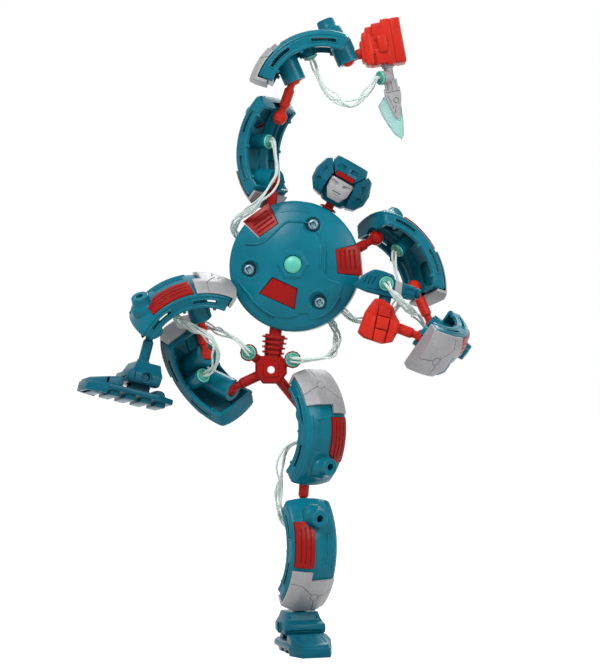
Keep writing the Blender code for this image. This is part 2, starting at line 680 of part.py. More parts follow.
def edge_cutters():
    """What the torso's edge opens for: two shoulders, the neck and the waist."""
    made = []
    for angle in SHOULDER_ANGLES.values():
        made.append(plate(shoulder_outline(GAP), 60 * MM, on_disc(angle)))
    made.append(rod(disc_spot(DISC_R - 7 * MM, NECK_ANGLE), disc_spot(DISC_R + 5 * MM, NECK_ANGLE),
                    NECK_POST_R + GAP, sides=14))
    way = column_in_disc()
    rim = disc_spot(DISC_R, WAIST_ANGLE)
    made.append(rod(rim + way * 8 * MM, rim - way * 5 * MM, WAIST_POST_R + 1.3 * GAP, sides=14))
    made.append(rod(rim + way * 7.6 * MM, rim + way * 4 * MM, WAIST_POST_R + WAIST_FLANGE + 1.3 * GAP,
                    sides=14))
    for side, spot in SHOULDER_BALLS.items():
        root = disc_spot(SHOULDER_ROOT_R, SHOULDER_ROOTS[side])
        made.append(rod(root, TORSO_TURN.inverted() @ spot, ROD_R + 2.2 * GAP, sides=12))
    return made


def screw_spots():
    return [disc_spot(SCREW_PITCH_R, angle) for angle in SCREW_ANGLES]


def screw_seat():
    """Height of the shelf that a torso screw's head lies on."""
    return dome_height(SCREW_PITCH_R + SCREW_SEAT_R, DOME) - 1.6 * MM


def make_front_shell(frame):
    shell = dome_shell(DOME)
    low = -GAP
    for spot in screw_spots():
        join(shell, rod(spot + Vector((0, 0, GAP)), spot + Vector((0, 0, screw_seat())), SCREW_SEAT_R + MM,
                        sides=12))
        cut(shell, rod(spot + Vector((0, 0, screw_seat())), spot + Vector((0, 0, 30 * MM)), SCREW_SEAT_R,
                       sides=12))
        cut(shell, rod(spot + Vector((0, 0, low)), spot + Vector((0, 0, 30 * MM)), SHANK_R + GAP, sides=8))
    cut(shell, *edge_cutters())
    top = dome_height(0, DOME)
    join(shell, rod((0, 0, top - 1.6 * MM), (0, 0, top + 1.1 * MM), LENS_RING_R, LENS_RING_R - MM, sides=20))
    cut(shell, rod((0, 0, top - 1.0 * MM), (0, 0, top + 9 * MM), LENS_R + GAP, sides=20))
    cut(shell, rod((0, 0, -MM), (0, 0, top + 9 * MM), LENS_PIN_R + GAP, sides=10))
    tray = window(2 * MM, window_floor() - 1.6 * MM, window_floor() + 2 * MM)
    join(shell, keep(tray, dome_solid(DOME - 0.4 * MM)))
    cut(shell, window(GAP, window_floor(), 30 * MM))
    return finish(shell, "torso_front_shell", TEAL, frame)


def window_floor():
    """Height of the window's flat floor, under the lowest part of the dome that it crosses."""
    return dome_height(hypot(WINDOW_OUT, WINDOW_HALF[1]), DOME) - 1.1 * MM


def window(margin, low, high):
    """The tapered window in the belly, from one height to another."""
    inner, outer = WINDOW_IN - margin, WINDOW_OUT + margin
    narrow, wide = WINDOW_HALF[0] + margin, WINDOW_HALF[1] + margin
    outline = [(inner, -narrow), (outer, -wide), (outer, wide), (inner, narrow)]
    return plate(outline, high - low, on_disc(WINDOW_ANGLE, 0, (low + high) / 2))


def make_belly_panel(frame):
    """The red panel in the torso's window, which follows the dome."""
    floor = window_floor() + GAP
    panel = window(0.0, floor, 20 * MM)
    keep(panel, dome_solid(DOME + 0.2 * MM))
    return finish(panel, "belly_panel", RED, frame)


def dome_solid(dome):
    """A dome of the torso's outline, filled, to trim what follows it."""
    radii = [DISC_R * (i / 4) ** 0.8 for i in range(5)]
    return turned([(r, dome_height(r, dome)) for r in radii] + [(DISC_R, 0), (0, 0)], sides=36)


def make_back_shell(frame):
    shell = dome_shell(BACK_DOME)
    turn = Matrix.Rotation(pi, 4, "Y")
    for spot in screw_spots():
        spot = turn @ spot
        join(shell, rod(spot + Vector((0, 0, GAP)), spot + Vector((0, 0, BACK_DOME - 3 * MM)),
                        SHANK_R + 1.7 * MM, sides=12))
        cut(shell, rod(spot - Vector((0, 0, MM)), spot + Vector((0, 0, SHANK_DEEP + MM)), SHANK_R + GAP,
                       sides=8))
    mirrored = Matrix.Rotation(pi, 4, "Y")
    for tool in edge_cutters():
        tool.data.transform(mirrored)
        cut(shell, tool)
    for angle in ANCHOR_ANGLES:
        spot = turn @ disc_spot(ANCHOR_R, angle)
        up = Vector((0, 0, 1))
        top = dome_height(ANCHOR_R, BACK_DOME)
        join(shell, rod(spot + up * (top - 1.5 * MM), spot + up * (top + ANCHOR_TALL), BOSS_R, sides=12))
        cut(shell, rod(spot + up * (top - 3 * MM), spot + up * (top + 3 * MM), PLUG_STEM_R + GAP, sides=10))
    return finish(shell, "torso_back_shell", TEAL, frame @ turn)


def make_lens(frame):
    """The domed lens in the middle of the chest, with the pin that it is pressed in by."""
    top = dome_height(0, DOME)
    seat = top - 1.0 * MM + GAP
    profile = [(0, seat + 2.9 * MM), (LENS_R * 0.55, seat + 2.6 * MM), (LENS_R * 0.9, seat + 1.8 * MM),
               (LENS_R, seat + 1.0 * MM), (LENS_R, seat), (LENS_PIN_R, seat), (LENS_PIN_R, top - 5 * MM),
               (0, top - 5 * MM)]
    return finish(turned(profile, sides=20), "chest_lens", MINT, frame)


def make_screw(number, spot, frame):
    """A cross-head screw that holds the torso's shells together."""
    seat = screw_seat() + GAP
    profile = [(0, seat + 1.9 * MM), (SCREW_R * 0.7, seat + 1.6 * MM), (SCREW_R, seat + 0.7 * MM),
               (SCREW_R, seat), (SHANK_R, seat), (SHANK_R, -SHANK_DEEP), (0, -SHANK_DEEP)]
    screw = turned(profile, sides=12)
    for turn in (0, pi / 2):
        place = Matrix.Translation((0, 0, seat + 1.7 * MM)) @ Matrix.Rotation(turn + 0.3, 4, "Z")
        cut(screw, block((SCREW_R * 1.25, 0.6 * MM, 1.4 * MM), place))
    return finish(screw, "torso_screw_%d" % number, STEEL, frame @ Matrix.Translation(spot))


def make_shoulder(side, frame, ball_point):
    """The ribbed red wedge in the torso's edge, with the rod and ball that the arm hangs on."""
    angle = SHOULDER_ANGLES[side]
    wedge = plate(shoulder_outline(0.0), 2 * (DOME + BACK_DOME), None)
    lift = 0.5 * MM
    high = [(r, dome_height(r, DOME) + lift) for r in (0.0, 18 * MM, 30 * MM, DISC_R)]
    low = [(r, -dome_height(r, BACK_DOME) + lift) for r in (DISC_R, 30 * MM, 18 * MM, 0.0)]
    keep(wedge, turned(high + [(DISC_R + 2 * MM, RIM), (DISC_R + 2 * MM, -RIM)] + low,
                       Matrix.Rotation(radians(5), 4, "Z"), sides=36))
    for i in range(4):
        radius = SHOULDER_IN + (2.4 + i * 2.5) * MM
        place = Matrix.Translation((radius, 0, dome_height(radius, DOME) + 0.6 * MM))
        cut(wedge, block((1.0 * MM, 2 * SHOULDER_HALF[0] - 1.5 * MM, 1.7 * MM), place))
    wedge.data.transform(frame @ on_disc(angle))
    root = frame @ disc_spot(SHOULDER_ROOT_R, SHOULDER_ROOTS[side], 0)
    join(wedge, ball_stem(ball_point, root))
    return finish(wedge, "shoulder_block_" + side, RED)


# ---- Head -------------------------------------------------------------------------------------------
def make_neck(frame, pivot_point):
    """The post between the torso's shells and the ball that the head turns on."""
    foot = frame @ disc_spot(DISC_R - 5.5 * MM, NECK_ANGLE)
    way = (pivot_point - foot).normalized()
    tall = (pivot_point - foot).length
    waist = tall - NECK_BALL_R - 0.5 * MM
    rim = 5.5 * MM
    profile = [(r, z + tall) for r, z in ball_end(NECK_BALL_R, NECK_R + 0.4 * MM, 1)]
    profile += [(NECK_R + 0.4 * MM, waist), (NECK_R + 1.4 * MM, waist - 1.2 * MM),
                (NECK_R + 1.4 * MM, rim + 1.6 * MM), (NECK_POST_R + 1.5 * MM, rim + 1.0 * MM),
                (NECK_POST_R + 1.5 * MM, rim + GAP), (NECK_POST_R, rim + GAP), (NECK_POST_R, 0), (0, 0)]
    return finish(turned(profile, aim(foot, way), sides=12), "neck", RED)


def petal(outline, turn=1):
    """A thick petal of the helmet: an outline through the head, kept between two balls."""
    points = [(turn * x * MM, z * MM) for x, z in outline]
    slab = plate(points if turn > 0 else points[::-1], 2.4 * HEAD_R, Matrix.Rotation(pi / 2, 4, "X"), 0.0)
    keep(slab, ball((0, 0, 0), PETAL_OUT, sides=18))
    return cut(slab, ball((0, 0, 0), PETAL_IN, sides=10))


def make_helmet(frame):
    """A helmet of thick petals round a core, open in front for the face and below for the neck."""
    helmet = ball((0, 0, 0), HEAD_CORE_R, sides=14)
    join(helmet, petal(CROWN_PETAL), petal(CHEEK_PETAL), petal(CHEEK_PETAL, -1))
    floor = -HEAD_R * 0.74
    cut(helmet, block((3 * HEAD_R, 3 * HEAD_R, HEAD_R), Matrix.Translation((0, 0, floor - HEAD_R / 2))))
    cut(helmet, face_block(GAP, HEAD_R))
    neck_r = NECK_BALL_R + BALL_PLAY
    cut(helmet, ball(NECK_IN_HEAD, neck_r, sides=12))
    cut(helmet, rod(NECK_IN_HEAD, (0, 0, -HEAD_R), neck_r - 0.6 * MM, neck_r + 1.5 * MM, sides=12))
    cut(helmet, brow_block(GAP))
    for across in CROWN_WINDOWS:
        helmet_window(helmet, across * MM, 7.6 * MM, 0)
    for side in (-1, 1):
        helmet_window(helmet, side * 12.4 * MM, 1.8 * MM, side * 62)
        helmet_window(helmet, side * 12.6 * MM, -5.0 * MM, side * 80)
    return finish(helmet, "helmet", TEAL, frame)


def helmet_window(helmet, across, high, lean):
    """A sunk rectangle in a petal, where the face's side sees it."""
    front = -sqrt(PETAL_OUT ** 2 - across ** 2 - high ** 2)
    place = Matrix.Translation((across, front, high)) @ Matrix.Rotation(radians(lean), 4, "Y")
    cut(helmet, block((4.6 * MM, 3.0 * MM, 2.4 * MM), place))


def face_block(margin, deep):
    """The opening for the face, or with no margin and its own depth the face's outside."""
    outline = [(-FACE_HALF - margin, FACE_TOP + margin), (FACE_HALF + margin, FACE_TOP + margin),
               (FACE_HALF * 0.9 + margin, FACE_LOW * 0.55), (FACE_HALF * 0.5 + margin, FACE_LOW - margin),
               (-FACE_HALF * 0.5 - margin, FACE_LOW - margin), (-FACE_HALF * 0.9 - margin, FACE_LOW * 0.55)]
    upright = Matrix.Rotation(pi / 2, 4, "X")
    return plate(outline, deep, Matrix.Translation((0, FACE_SEAT + margin - deep / 2, 0)) @ upright)


def make_face(frame):
    """A plain silver mask with two slots to see through."""
    deep = HEAD_R * 0.97 + FACE_SEAT
    face = face_block(0.0, deep)
    curve = ball((0, 0, 0), HEAD_R - 0.8 * MM, sides=24)
    keep(face, curve)
    slot = block((4.4 * MM, 5 * MM, 1.7 * MM), None, 0.4 * MM)
    for side in (-1, 1):
        tool = slot.copy()
        tool.data = slot.data.copy()
        tool.data.transform(Matrix.Translation((side * 3.6 * MM, -HEAD_R, -1.6 * MM))
                            @ Matrix.Rotation(side * radians(-9), 4, "Y"))
        cut(face, tool)
    bpy.data.objects.remove(slot)
    for i in range(3):
        cut(face, block((FACE_HALF * 0.7, 2 * MM, 0.6 * MM),
                        Matrix.Translation((0, -HEAD_R * 0.86, -6.2 * MM - i * 1.5 * MM))))
    return finish(face, "face", SILVER, frame)


def make_face_trim(frame):
    """The red brow over the face, pressed into the helmet."""
    return finish(brow_block(0.0), "face_trim", RED, frame)


def brow_block(margin):
    """The red brow, or with a margin the slot that it is pressed into."""
    size = (2 * (BROW_HALF + margin), 4 * MM + margin, 2 * (BROW_TALL + margin))
    place = Matrix.Translation((0, -HEAD_R + 1.2 * MM + margin / 2, BROW_HIGH))
    return block(size, place, 0.0 if margin else 0.4 * MM)


# ---- Hands and what they hold -----------------------------------------------------------------------
def make_hand(side, ball_point, frame):
    """A stepped fist with a hole through it, on the stem and ball of the wrist."""
    turn = 1 if side == "right" else -1
    pieces = []
    for size, middle, rounding in FIST_STEPS:
        middle = Vector((middle.x * turn, middle.y, middle.z))
        pieces.append(block(size, Matrix.Translation(middle), rounding, 1))
    fist = join(*pieces)
    size, middle, _ = FIST_STEPS[0]
    for i in (-1, 0, 1):
        high = i * size.z / 4
        cut(fist, block((size.x * 0.8, 2 * MM, KNUCKLE_SEAM),
                        Matrix.Translation((turn * (middle.x + size.x * 0.18), -size.y / 2, high))))
        cut(fist, block((2 * MM, size.y * 0.84, KNUCKLE_SEAM),
                        Matrix.Translation((turn * (middle.x + size.x / 2), 0, high))))
    thumb = block((6.4 * MM, 5 * MM, FIST[2] * 0.46),
                  Matrix.Translation((-turn * 1.4 * MM, -FIST[1] / 2 - 0.2 * MM, 0.4 * MM))
                  @ Matrix.Rotation(radians(-14 * turn), 4, "Y"), 1.5 * MM)
    join(fist, thumb)
    fist.data.transform(frame)
    middle = frame.translation
    join(fist, ball_stem(ball_point, middle - (middle - ball_point).normalized() * FIST[0] * 0.3))
    hole = rod(frame @ Vector((0, 0, -20 * MM)), frame @ Vector((0, 0, 20 * MM)), GRIP_R + GAP, sides=14)
    cut(fist, hole)
    return finish(fist, "hand_" + side, RED)


def make_dagger_hilt(grip):
    """The hilt: a turned grip, a side boss for a plug, and a guard with two tongues that clasp the blade."""
    top, low, guard = FIST[2] / 2 - MM, -FIST[2] / 2 - 0.6 * MM, -HILT_LONG
    ring = GRIP_R + 0.9 * MM
    profile = [(0, top), (GRIP_R - 0.7 * MM, top), (GRIP_R, top - MM), (GRIP_R, low), (ring, low - 0.6 * MM),
               (ring, low - 1.8 * MM), (GRIP_R - 0.5 * MM, low - 3 * MM), (GRIP_R, guard + 2 * MM),
               (GRIP_R + 1.2 * MM, guard), (0, guard)]
    hilt = turned(profile, sides=12)
    join(hilt, block(GUARD, Matrix.Translation((0, 0, guard - 0.6 * MM)), 1.1 * MM))
    half, tip = GUARD[0] / 2 - 0.4 * MM, 1.1 * MM
    tongue = [(-half, guard), (half, guard), (tip, guard - CLASP_LONG), (-tip, guard - CLASP_LONG)]
    apart = (BLADE_THICK + CLASP_THICK) / 2 + GAP
    for side in (-1, 1):
        place = Matrix.Translation((0, side * apart, 0)) @ Matrix.Rotation(pi / 2, 4, "X")
        join(hilt, plate(tongue, CLASP_THICK, place))
    seat, way = hilt_plug()
    join(hilt, rod(seat, seat + way * 5 * MM, BOSS_R - 0.5 * MM, sides=12))
    cut(hilt, rod(seat - way * MM, seat + way * (PLUG_DEEP + 0.4 * MM), PLUG_STEM_R + GAP, sides=10))
    cut(hilt, block((TANG[0] + 2 * GAP, TANG[1] + 2 * GAP, TANG[2]),
                    Matrix.Translation((0, 0, guard - 2.3 * MM + TANG[2] / 2 - MM))))
    return finish(hilt, "dagger_hilt", SILVER, grip)


def hilt_plug():
    """Where the plug sits on the hilt's side, and the way its stem goes in."""
    way = Vector((0.8, 0.6, 0.0))
    return Vector((0, 0, -FIST[2] / 2 - HILT_PLUG)) - way * (GRIP_R + 2.6 * MM), way


def make_blade(grip):
    """A broad curved blade with a bevelled edge and a square tang."""
    top = -HILT_LONG - 2.3 * MM - GAP
    outline = [(x * BLADE_WIDE, top - z * BLADE_LONG) for x, z in BLADE_EDGE]
    upright = Matrix.Rotation(pi / 2, 4, "X")
    blade = plate(outline, BLADE_THICK, upright, 0.9 * MM)
    long = TANG[2] - 2 * MM
    join(blade, block((TANG[0], TANG[1], long), Matrix.Translation((0, 0, top + long / 2 - 0.5 * MM))))
    return finish(blade, "dagger_blade", BLADE, grip)


def make_blaster(grip):
    """A short blaster: a faceted body with a stepped barrel, and the grip that the fist holds."""
    base = BLASTER_BASE
    tall, wide = BLASTER[2], BLASTER[1]
    x0 = -BLASTER[0] * 0.56
    outline = [(x0, base + tall * 0.15), (x0 + 0.17 * BLASTER[0], base + tall * 0.75),
               (x0 + 0.30 * BLASTER[0], base + tall), (x0 + 0.62 * BLASTER[0], base + tall * 0.92),
               (x0 + 0.66 * BLASTER[0], base + tall * 0.7), (x0 + BLASTER[0], base + tall * 0.62),
               (x0 + BLASTER[0], base + tall * 0.1), (x0 + 0.7 * BLASTER[0], base - 0.6 * MM),
               (x0 + 0.25 * BLASTER[0], base)]
    upright = Matrix.Rotation(pi / 2, 4, "X")
    blaster = plate(outline, wide, upright, 1.3 * MM)
    join(blaster, rod((0, 0, base + 2 * MM), (0, 0, -FIST[2] / 2 - 3 * MM), GRIP_R, sides=14))
    muzzle = Vector((x0 + BLASTER[0], 0, base + tall * 0.36))
    join(blaster, rod(muzzle - Vector((MM, 0, 0)), muzzle + Vector((3.2 * MM, 0, 0)), 2.7 * MM, sides=14))
    cut(blaster, rod(muzzle, muzzle + Vector((4 * MM, 0, 0)), 1.4 * MM, sides=10))
    seat, way = blaster_plug(), Vector((0, 1, 0))
    cut(blaster, rod(seat - way * MM, seat + way * (PLUG_DEEP + 0.4 * MM), PLUG_STEM_R + GAP, sides=10))
    return finish(blaster, "blaster", DEEP_TEAL, grip)


def blaster_plug():
    """Where the plug sits on the blaster's side."""
    return Vector((-MM, -BLASTER[1] / 2, BLASTER_BASE + BLASTER[2] * 0.5))


# ---- Pelvis and feet --------------------------------------------------------------------------------
def make_pelvis(hub, hips):
    """The red hip frame: a pierced hub, the ribbed column to the torso, and a rod and ball each side."""
    wide, tall = HUB[0] / 2, HUB[1] / 2
    shield = [(-wide * 0.64, tall), (wide * 0.64, tall), (wide, tall * 0.58), (wide, -tall * 0.28),
              (wide * 0.52, -tall), (-wide * 0.52, -tall), (-wide, -tall * 0.28), (-wide, tall * 0.58)]
    frame = Matrix.Translation(hub) @ Matrix.Rotation(pi / 2, 4, "X")
    body = plate(shield, HUB[2], frame, 1.2 * MM)
    join(body, block(HUB_FACE, frame, 1.6 * MM))
    way = COLUMN_WAY
    start = hub + way * 5 * MM
    end = hub + way * COLUMN
    join(body, rod(start, end - way * 3 * MM, WAIST_POST_R + 1.0 * MM, WAIST_POST_R + 2.1 * MM, sides=14))
    for i in range(4):
        spot = hub + way * (9.5 + 2.8 * i) * MM
        join(body, rod(spot - way * 0.6 * MM, spot + way * 0.6 * MM, WAIST_POST_R + (2.6 + 0.3 * i) * MM,
                       sides=12))
    join(body, rod(end - way * 4 * MM, end + way * 7 * MM, WAIST_POST_R, sides=14))
    join(body, rod(end + way * 4.6 * MM, end + way * 7 * MM, WAIST_POST_R + WAIST_FLANGE, sides=14))
    for point in hips:
        join(body, ball_stem(point, hub + (point - hub).normalized() * HUB[0] * 0.3))
    for side, spot in PELVIS_SOCKETS.items():
        centre = hub + Vector(spot)
        join(body, rod(centre, centre + Vector((0, 6 * MM, 0)), BOSS_R + 0.5 * MM, sides=12))
        join(body, rod(centre + Vector((0, 3.5 * MM, 0)), hub + Vector((0, 2 * MM, 0)), 2.6 * MM, sides=10))
        cut(body, rod(centre - Vector((0, MM, 0)), centre + Vector((0, 4.5 * MM, 0)), PLUG_STEM_R + GAP,
                      sides=8))
    cut(body, rod(hub - Vector((0, 12 * MM, 0)), hub + Vector((0, 12 * MM, 0)), HUB_HOLE_R, sides=12))
    return finish(body, "pelvis", RED)


def make_ankle(side, ball_point, frame):
    """The ankle: a ball and rod over a boot-shaped block, split below for the foot's tongue."""
    wide, deep, tall = (size / 2 for size in ANKLE)
    front = [(-wide * 0.74, tall), (wide * 0.74, tall), (wide * 0.84, tall * 0.42), (wide, -tall * 0.10),
             (wide, -tall * 0.76), (wide * 0.9, -tall), (-wide * 0.9, -tall), (-wide, -tall * 0.76),
             (-wide, -tall * 0.10), (-wide * 0.84, tall * 0.42)]
    flank = [(-deep * 0.62, tall), (deep * 0.86, tall), (deep, 0), (deep * 0.92, -tall),
             (-deep * 1.04, -tall), (-deep * 1.14, -tall * 0.5), (-deep * 0.84, tall * 0.12)]
    upright = Matrix.Rotation(pi / 2, 4, "X")
    body = plate(front, 3 * deep, upright)
    keep(body, plate(flank, 3 * wide, Matrix.Rotation(pi / 2, 4, "Z") @ upright))
    for s in (-1, 1):
        join(body, rod((s * (wide - 2 * MM), 0, -ANKLE_PIN_LOW), (s * (wide + 0.6 * MM), 0, -ANKLE_PIN_LOW),
                       ANKLE_EYE_R, sides=14))
    room = TONGUE_R + 2 * GAP
    cut(body, block((TONGUE + 2 * GAP, 4 * deep, 2 * tall),
                    Matrix.Translation((0, 2 * deep - SLOT_FRONT, -ANKLE_PIN_LOW + room - tall))))
    cut(body, rod((-2 * wide, 0, -ANKLE_PIN_LOW), (2 * wide, 0, -ANKLE_PIN_LOW), FOOT_PIN_R + GAP, sides=14))
    body.data.transform(frame)
    top = frame @ Vector((0, 0, tall))
    join(body, ball_stem(ball_point, top + (top - ball_point).normalized() * 3 * MM))
    return finish(body, "ankle_" + side, TEAL)


def foot_outline(margin=0.0):
    half = FOOT[0] / 2 - margin
    front, back = FOOT[1] / 2 - margin, -FOOT[1] / 2 + margin
    return [(-half * 0.62, front), (half * 0.62, front), (half, front - 0.2 * FOOT[1]),
            (half, back + 0.22 * FOOT[1]), (half * 0.66, back), (-half * 0.66, back),
            (-half, back + 0.22 * FOOT[1]), (-half, front - 0.2 * FOOT[1])]


def make_foot(side, frame):
    """A foot with a sloped toe, a pinned tongue that the ankle swings on, and a blocked tread."""
    deck, hinge = TREAD + FOOT_THICK, FOOT_HINGE
    foot = plate(foot_outline(), FOOT_THICK, Matrix.Translation((0, 0, TREAD + FOOT_THICK / 2)), 1.0 * MM)
    for i in range(5):
        wide = FOOT[0] - (4.0 if i in (1, 2, 3) else 8.5) * MM
        lug = (wide, FOOT[1] * 0.115, TREAD + MM)
        join(foot, block(lug, Matrix.Translation((0, (i - 2) * FOOT[1] * 0.18, lug[2] / 2))))
    flank = Matrix.Rotation(pi / 2, 4, "Z") @ Matrix.Rotation(pi / 2, 4, "X")
    upright = Matrix.Translation((0, 0, deck)) @ flank
    front = -FOOT[1] / 2 + 1.6 * MM
    slope = [(front, 0), (TOE_START - 3 * MM, TOE_RISE), (TOE_START, TOE_RISE), (TOE_START, -MM),
             (front, -MM)]
    toe = plate(slope, FOOT[0] * 0.9, upright)
    narrow = [(-FOOT[0] * 0.36, front), (FOOT[0] * 0.36, front), (FOOT[0] * 0.44, TOE_START + MM),
              (-FOOT[0] * 0.44, TOE_START + MM)]
    join(foot, keep(toe, plate(narrow, 60 * MM)))
    heel = FOOT[1] / 2 - 8 * MM
    join(foot, rod((-FOOT[0] * 0.3, heel, deck), (FOOT[0] * 0.3, heel, deck), HEEL_BUMP_R, sides=12))
    high = hinge.z - deck
    root, brow, crest = TONGUE_R * 1.6, TONGUE_R * 0.5, high + TONGUE_R * 0.86
    tongue = [(hinge.y - root, -MM), (hinge.y + root, -MM), (hinge.y + TONGUE_R, high),
              (hinge.y + brow, crest), (hinge.y - brow, crest), (hinge.y - TONGUE_R, high)]
    join(foot, plate(tongue, TONGUE, upright))
    reach = ANKLE[0] / 2 - FOOT_PIN_SHORT
    join(foot, rod((-reach, hinge.y, hinge.z), (reach, hinge.y, hinge.z), FOOT_PIN_R, sides=12))
    return finish(foot, "foot_" + side, TEAL, frame)


# ---- Strands ----------------------------------------------------------------------------------------
def smooth(points, spacing):
    """Points read evenly from a smooth curve through the given ones."""
    spots = [Vector(p) for p in points]
    spots = [2 * spots[0] - spots[1]] + spots + [2 * spots[-1] - spots[-2]]
    fine = []
    for a, b, c, d in zip(spots, spots[1:], spots[2:], spots[3:]):
        for i in range(12):
            t = i / 12
            fine.append(0.5 * (2 * b + (c - a) * t + (2 * a - 5 * b + 4 * c - d) * t ** 2
                               + (3 * b - a - 3 * c + d) * t ** 3))
    fine.append(spots[-2])
    lengths = [0.0]
    for a, b in zip(fine, fine[1:]):
        lengths.append(lengths[-1] + (b - a).length)
    count = max(2, round(lengths[-1] / spacing))
    even = []
    for i in range(count + 1):
        want = lengths[-1] * i / count
        j = min(len(fine) - 2, sum(1 for length in lengths[1:] if length < want))
        share = (want - lengths[j]) / max(1e-9, lengths[j + 1] - lengths[j])
        even.append(fine[j].lerp(fine[j + 1], share))
    return even


def tube(points, radius):
    """A round tube along a smooth curve through the points."""
    route = smooth(points, 2.5 * 2 * radius)
    curve = bpy.data.curves.new("tube", "CURVE")
    curve.dimensions = "3D"
    curve.bevel_depth = radius
    curve.bevel_resolution = 1
    curve.use_fill_caps = True
    spline = curve.splines.new("POLY")
    spline.points.add(len(route) - 1)
    for point, spot in zip(spline.points, route):
        point.co = (*spot, 1.0)
    source = bpy.data.objects.new("tube", curve)
    bpy.context.scene.collection.objects.link(source)
    mesh = bpy.data.meshes.new_from_object(source.evaluated_get(bpy.context.evaluated_depsgraph_get()))
    shape = bmesh.new()
    shape.from_mesh(mesh)
    bmesh.ops.remove_doubles(shape, verts=shape.verts, dist=0.01 * MM)
    bpy.data.objects.remove(source)
    return from_bmesh(shape)


def plug(seat, way):
    """A rubber plug: a stem pushed in along the way given, and a round head on the hole's rim."""
    head = PLUG_HEAD
    profile = [(0, PLUG_DEEP), (PLUG_STEM_R * 0.85, PLUG_DEEP), (PLUG_STEM_R, PLUG_DEEP - 0.8 * MM),
               (PLUG_STEM_R, -GAP), (PLUG_R, -GAP), (PLUG_R, -head * 0.7), (PLUG_R * 0.75, -head), (0, -head)]
    return turned(profile, aim(seat, way), sides=10)


def make_strand(name, ends, routes):
    """A bundle of clear strands: a plug at each end, and a tube along each route between them."""
    plugs = [plug(seat, way) for seat, way in ends]
    body = plugs[0]
    tubes = []
    for (start, stop), route in routes.items():
        spots = []
        for end in (start, stop):
            seat, way = ends[end]
            spots.append((seat - way * PLUG_HEAD * 0.5, seat - way * (PLUG_HEAD + 2.5 * MM)))
        inner = [Vector(p) * MM for p in route]
        tubes.append(tube([spots[0][0], spots[0][1], *inner, spots[1][1], spots[1][0]], STRAND_R))
    for piece in tubes + plugs[1:]:
        join(body, piece)
    return finish(body, name, CLEAR, smooth=60.0)


# ---- The pose ---------------------------------------------------------------------------------------
LOW_CUPS = {"cap": (9.0 * MM, 18.0 * MM), "tail": (-20.0 * MM, 18.0 * MM)}
FAR_CUPS = {"cap": (15.0 * MM, 18.0 * MM), "tail": (-22.5 * MM, 18.0 * MM)}
MID_CUPS = {"cap": (17.5 * MM, 18.0 * MM), "tail": (-17.5 * MM, 18.0 * MM)}
ARM_CUPS = {"cap": (9.0 * MM, 17.9 * MM), "tail": (-22.0 * MM, 15.9 * MM)}

LIMBS = {
    "shin_left": Limb("shin", "left", (-0.04, 0, -1), (0.43, -0.90, 0), 50, tilt=0, boss=BOSS, **FAR_CUPS),
    "thigh_left": Limb("thigh", "left", (0.03, 0, 1), (0.60, -0.80, 0), 52, tilt=0, boss=BOSS, **LOW_CUPS),
    "thigh_right": Limb("thigh", "right", (-0.58, -0.04, 0.81), (-0.50, 0.80, -0.32), 53,
                        cap=(9 * MM, 14.5 * MM), tail=(-14.2 * MM, 14.2 * MM), tilt=45, boss=TILTED_BOSS),
    "shin_right": Limb("shin", "right", (0.92, 0.15, 0.37), (-0.25, -0.50, 0.83), 47, tilt=0, boss=BOSS,
                       cap=(9.2 * MM, 16.4 * MM), tail=(-19 * MM, 18 * MM)),
    "upper_arm_right": Limb("upper_arm", "right", (-0.10, 0, -0.995), (-0.74, 0.67, 0.07), 50,
                            tilt=0, boss=BOSS, **MID_CUPS),
    "forearm_right": Limb("forearm", "right", (-0.92, 0, -0.392), (-0.392, 0, 0.92), 47,
                          tilt=0, boss=BOSS, **ARM_CUPS),
    "upper_arm_left": Limb("upper_arm", "left", (0.61, 0.17, -0.77), (0.62, 0.60, 0.50), 50,
                           tilt=0, boss=BOSS, **MID_CUPS),
    "forearm_left": Limb("forearm", "left", (-0.28, -0.95, -0.16), (0.80, -0.14, -0.59), 49,
                         tilt=0, boss=BOSS, **ARM_CUPS),
}


# Each body's carrier, and the ball, pin or post that it turns on there.
JOINTS = {
    "torso": (None, "torso"),
    "head": ("torso", "neck"),
    "upper_arm_right": ("torso", "shoulder_right"),
    "elbow_link_right": ("upper_arm_right", "elbow_right"),
    "forearm_right": ("elbow_link_right", "elbow_high_right"),
    "hand_right": ("forearm_right", "wrist_right"),
    "dagger": ("hand_right", "grip_right"),
    "upper_arm_left": ("torso", "shoulder_left"),
    "elbow_link_left": ("upper_arm_left", "elbow_left"),
    "forearm_left": ("elbow_link_left", "elbow_low_left"),
    "hand_left": ("forearm_left", "wrist_left"),
    "blaster": ("hand_left", "grip_left"),
    "pelvis": ("torso", "hub"),
    "thigh_right": ("pelvis", "hip_right"),
    "knee_link_right": ("thigh_right", "knee_right"),
    "shin_right": ("knee_link_right", "knee_high_right"),
    "ankle_right": ("shin_right", "ankle_right"),
    "foot_right": ("ankle_right", "foot_right"),
    "thigh_left": ("pelvis", "hip_left"),
    "knee_link_left": ("thigh_left", "knee_high_left"),
    "shin_left": ("knee_link_left", "knee_left"),
    "ankle_left": ("shin_left", "ankle_left"),
    "foot_left": ("ankle_left", "foot_left"),
}


def place_limb(key, point, at_cap, frames):
    """Places a limb by one ball, and gives where its other ball is."""
    limb = LIMBS[key]
    frames[key] = limb_frame(limb, point, at_cap)
    return frames[key] @ ball_spot(limb, not at_cap)


def facing(z, y):
    """A turn with its Z along one way, and its Y as near as it can be to another."""
    z = Vector(z).normalized()
    y = Vector(y)
    y = (y - y.dot(z) * z).normalized()
    return Matrix((y.cross(z), y, z)).transposed().to_4x4()


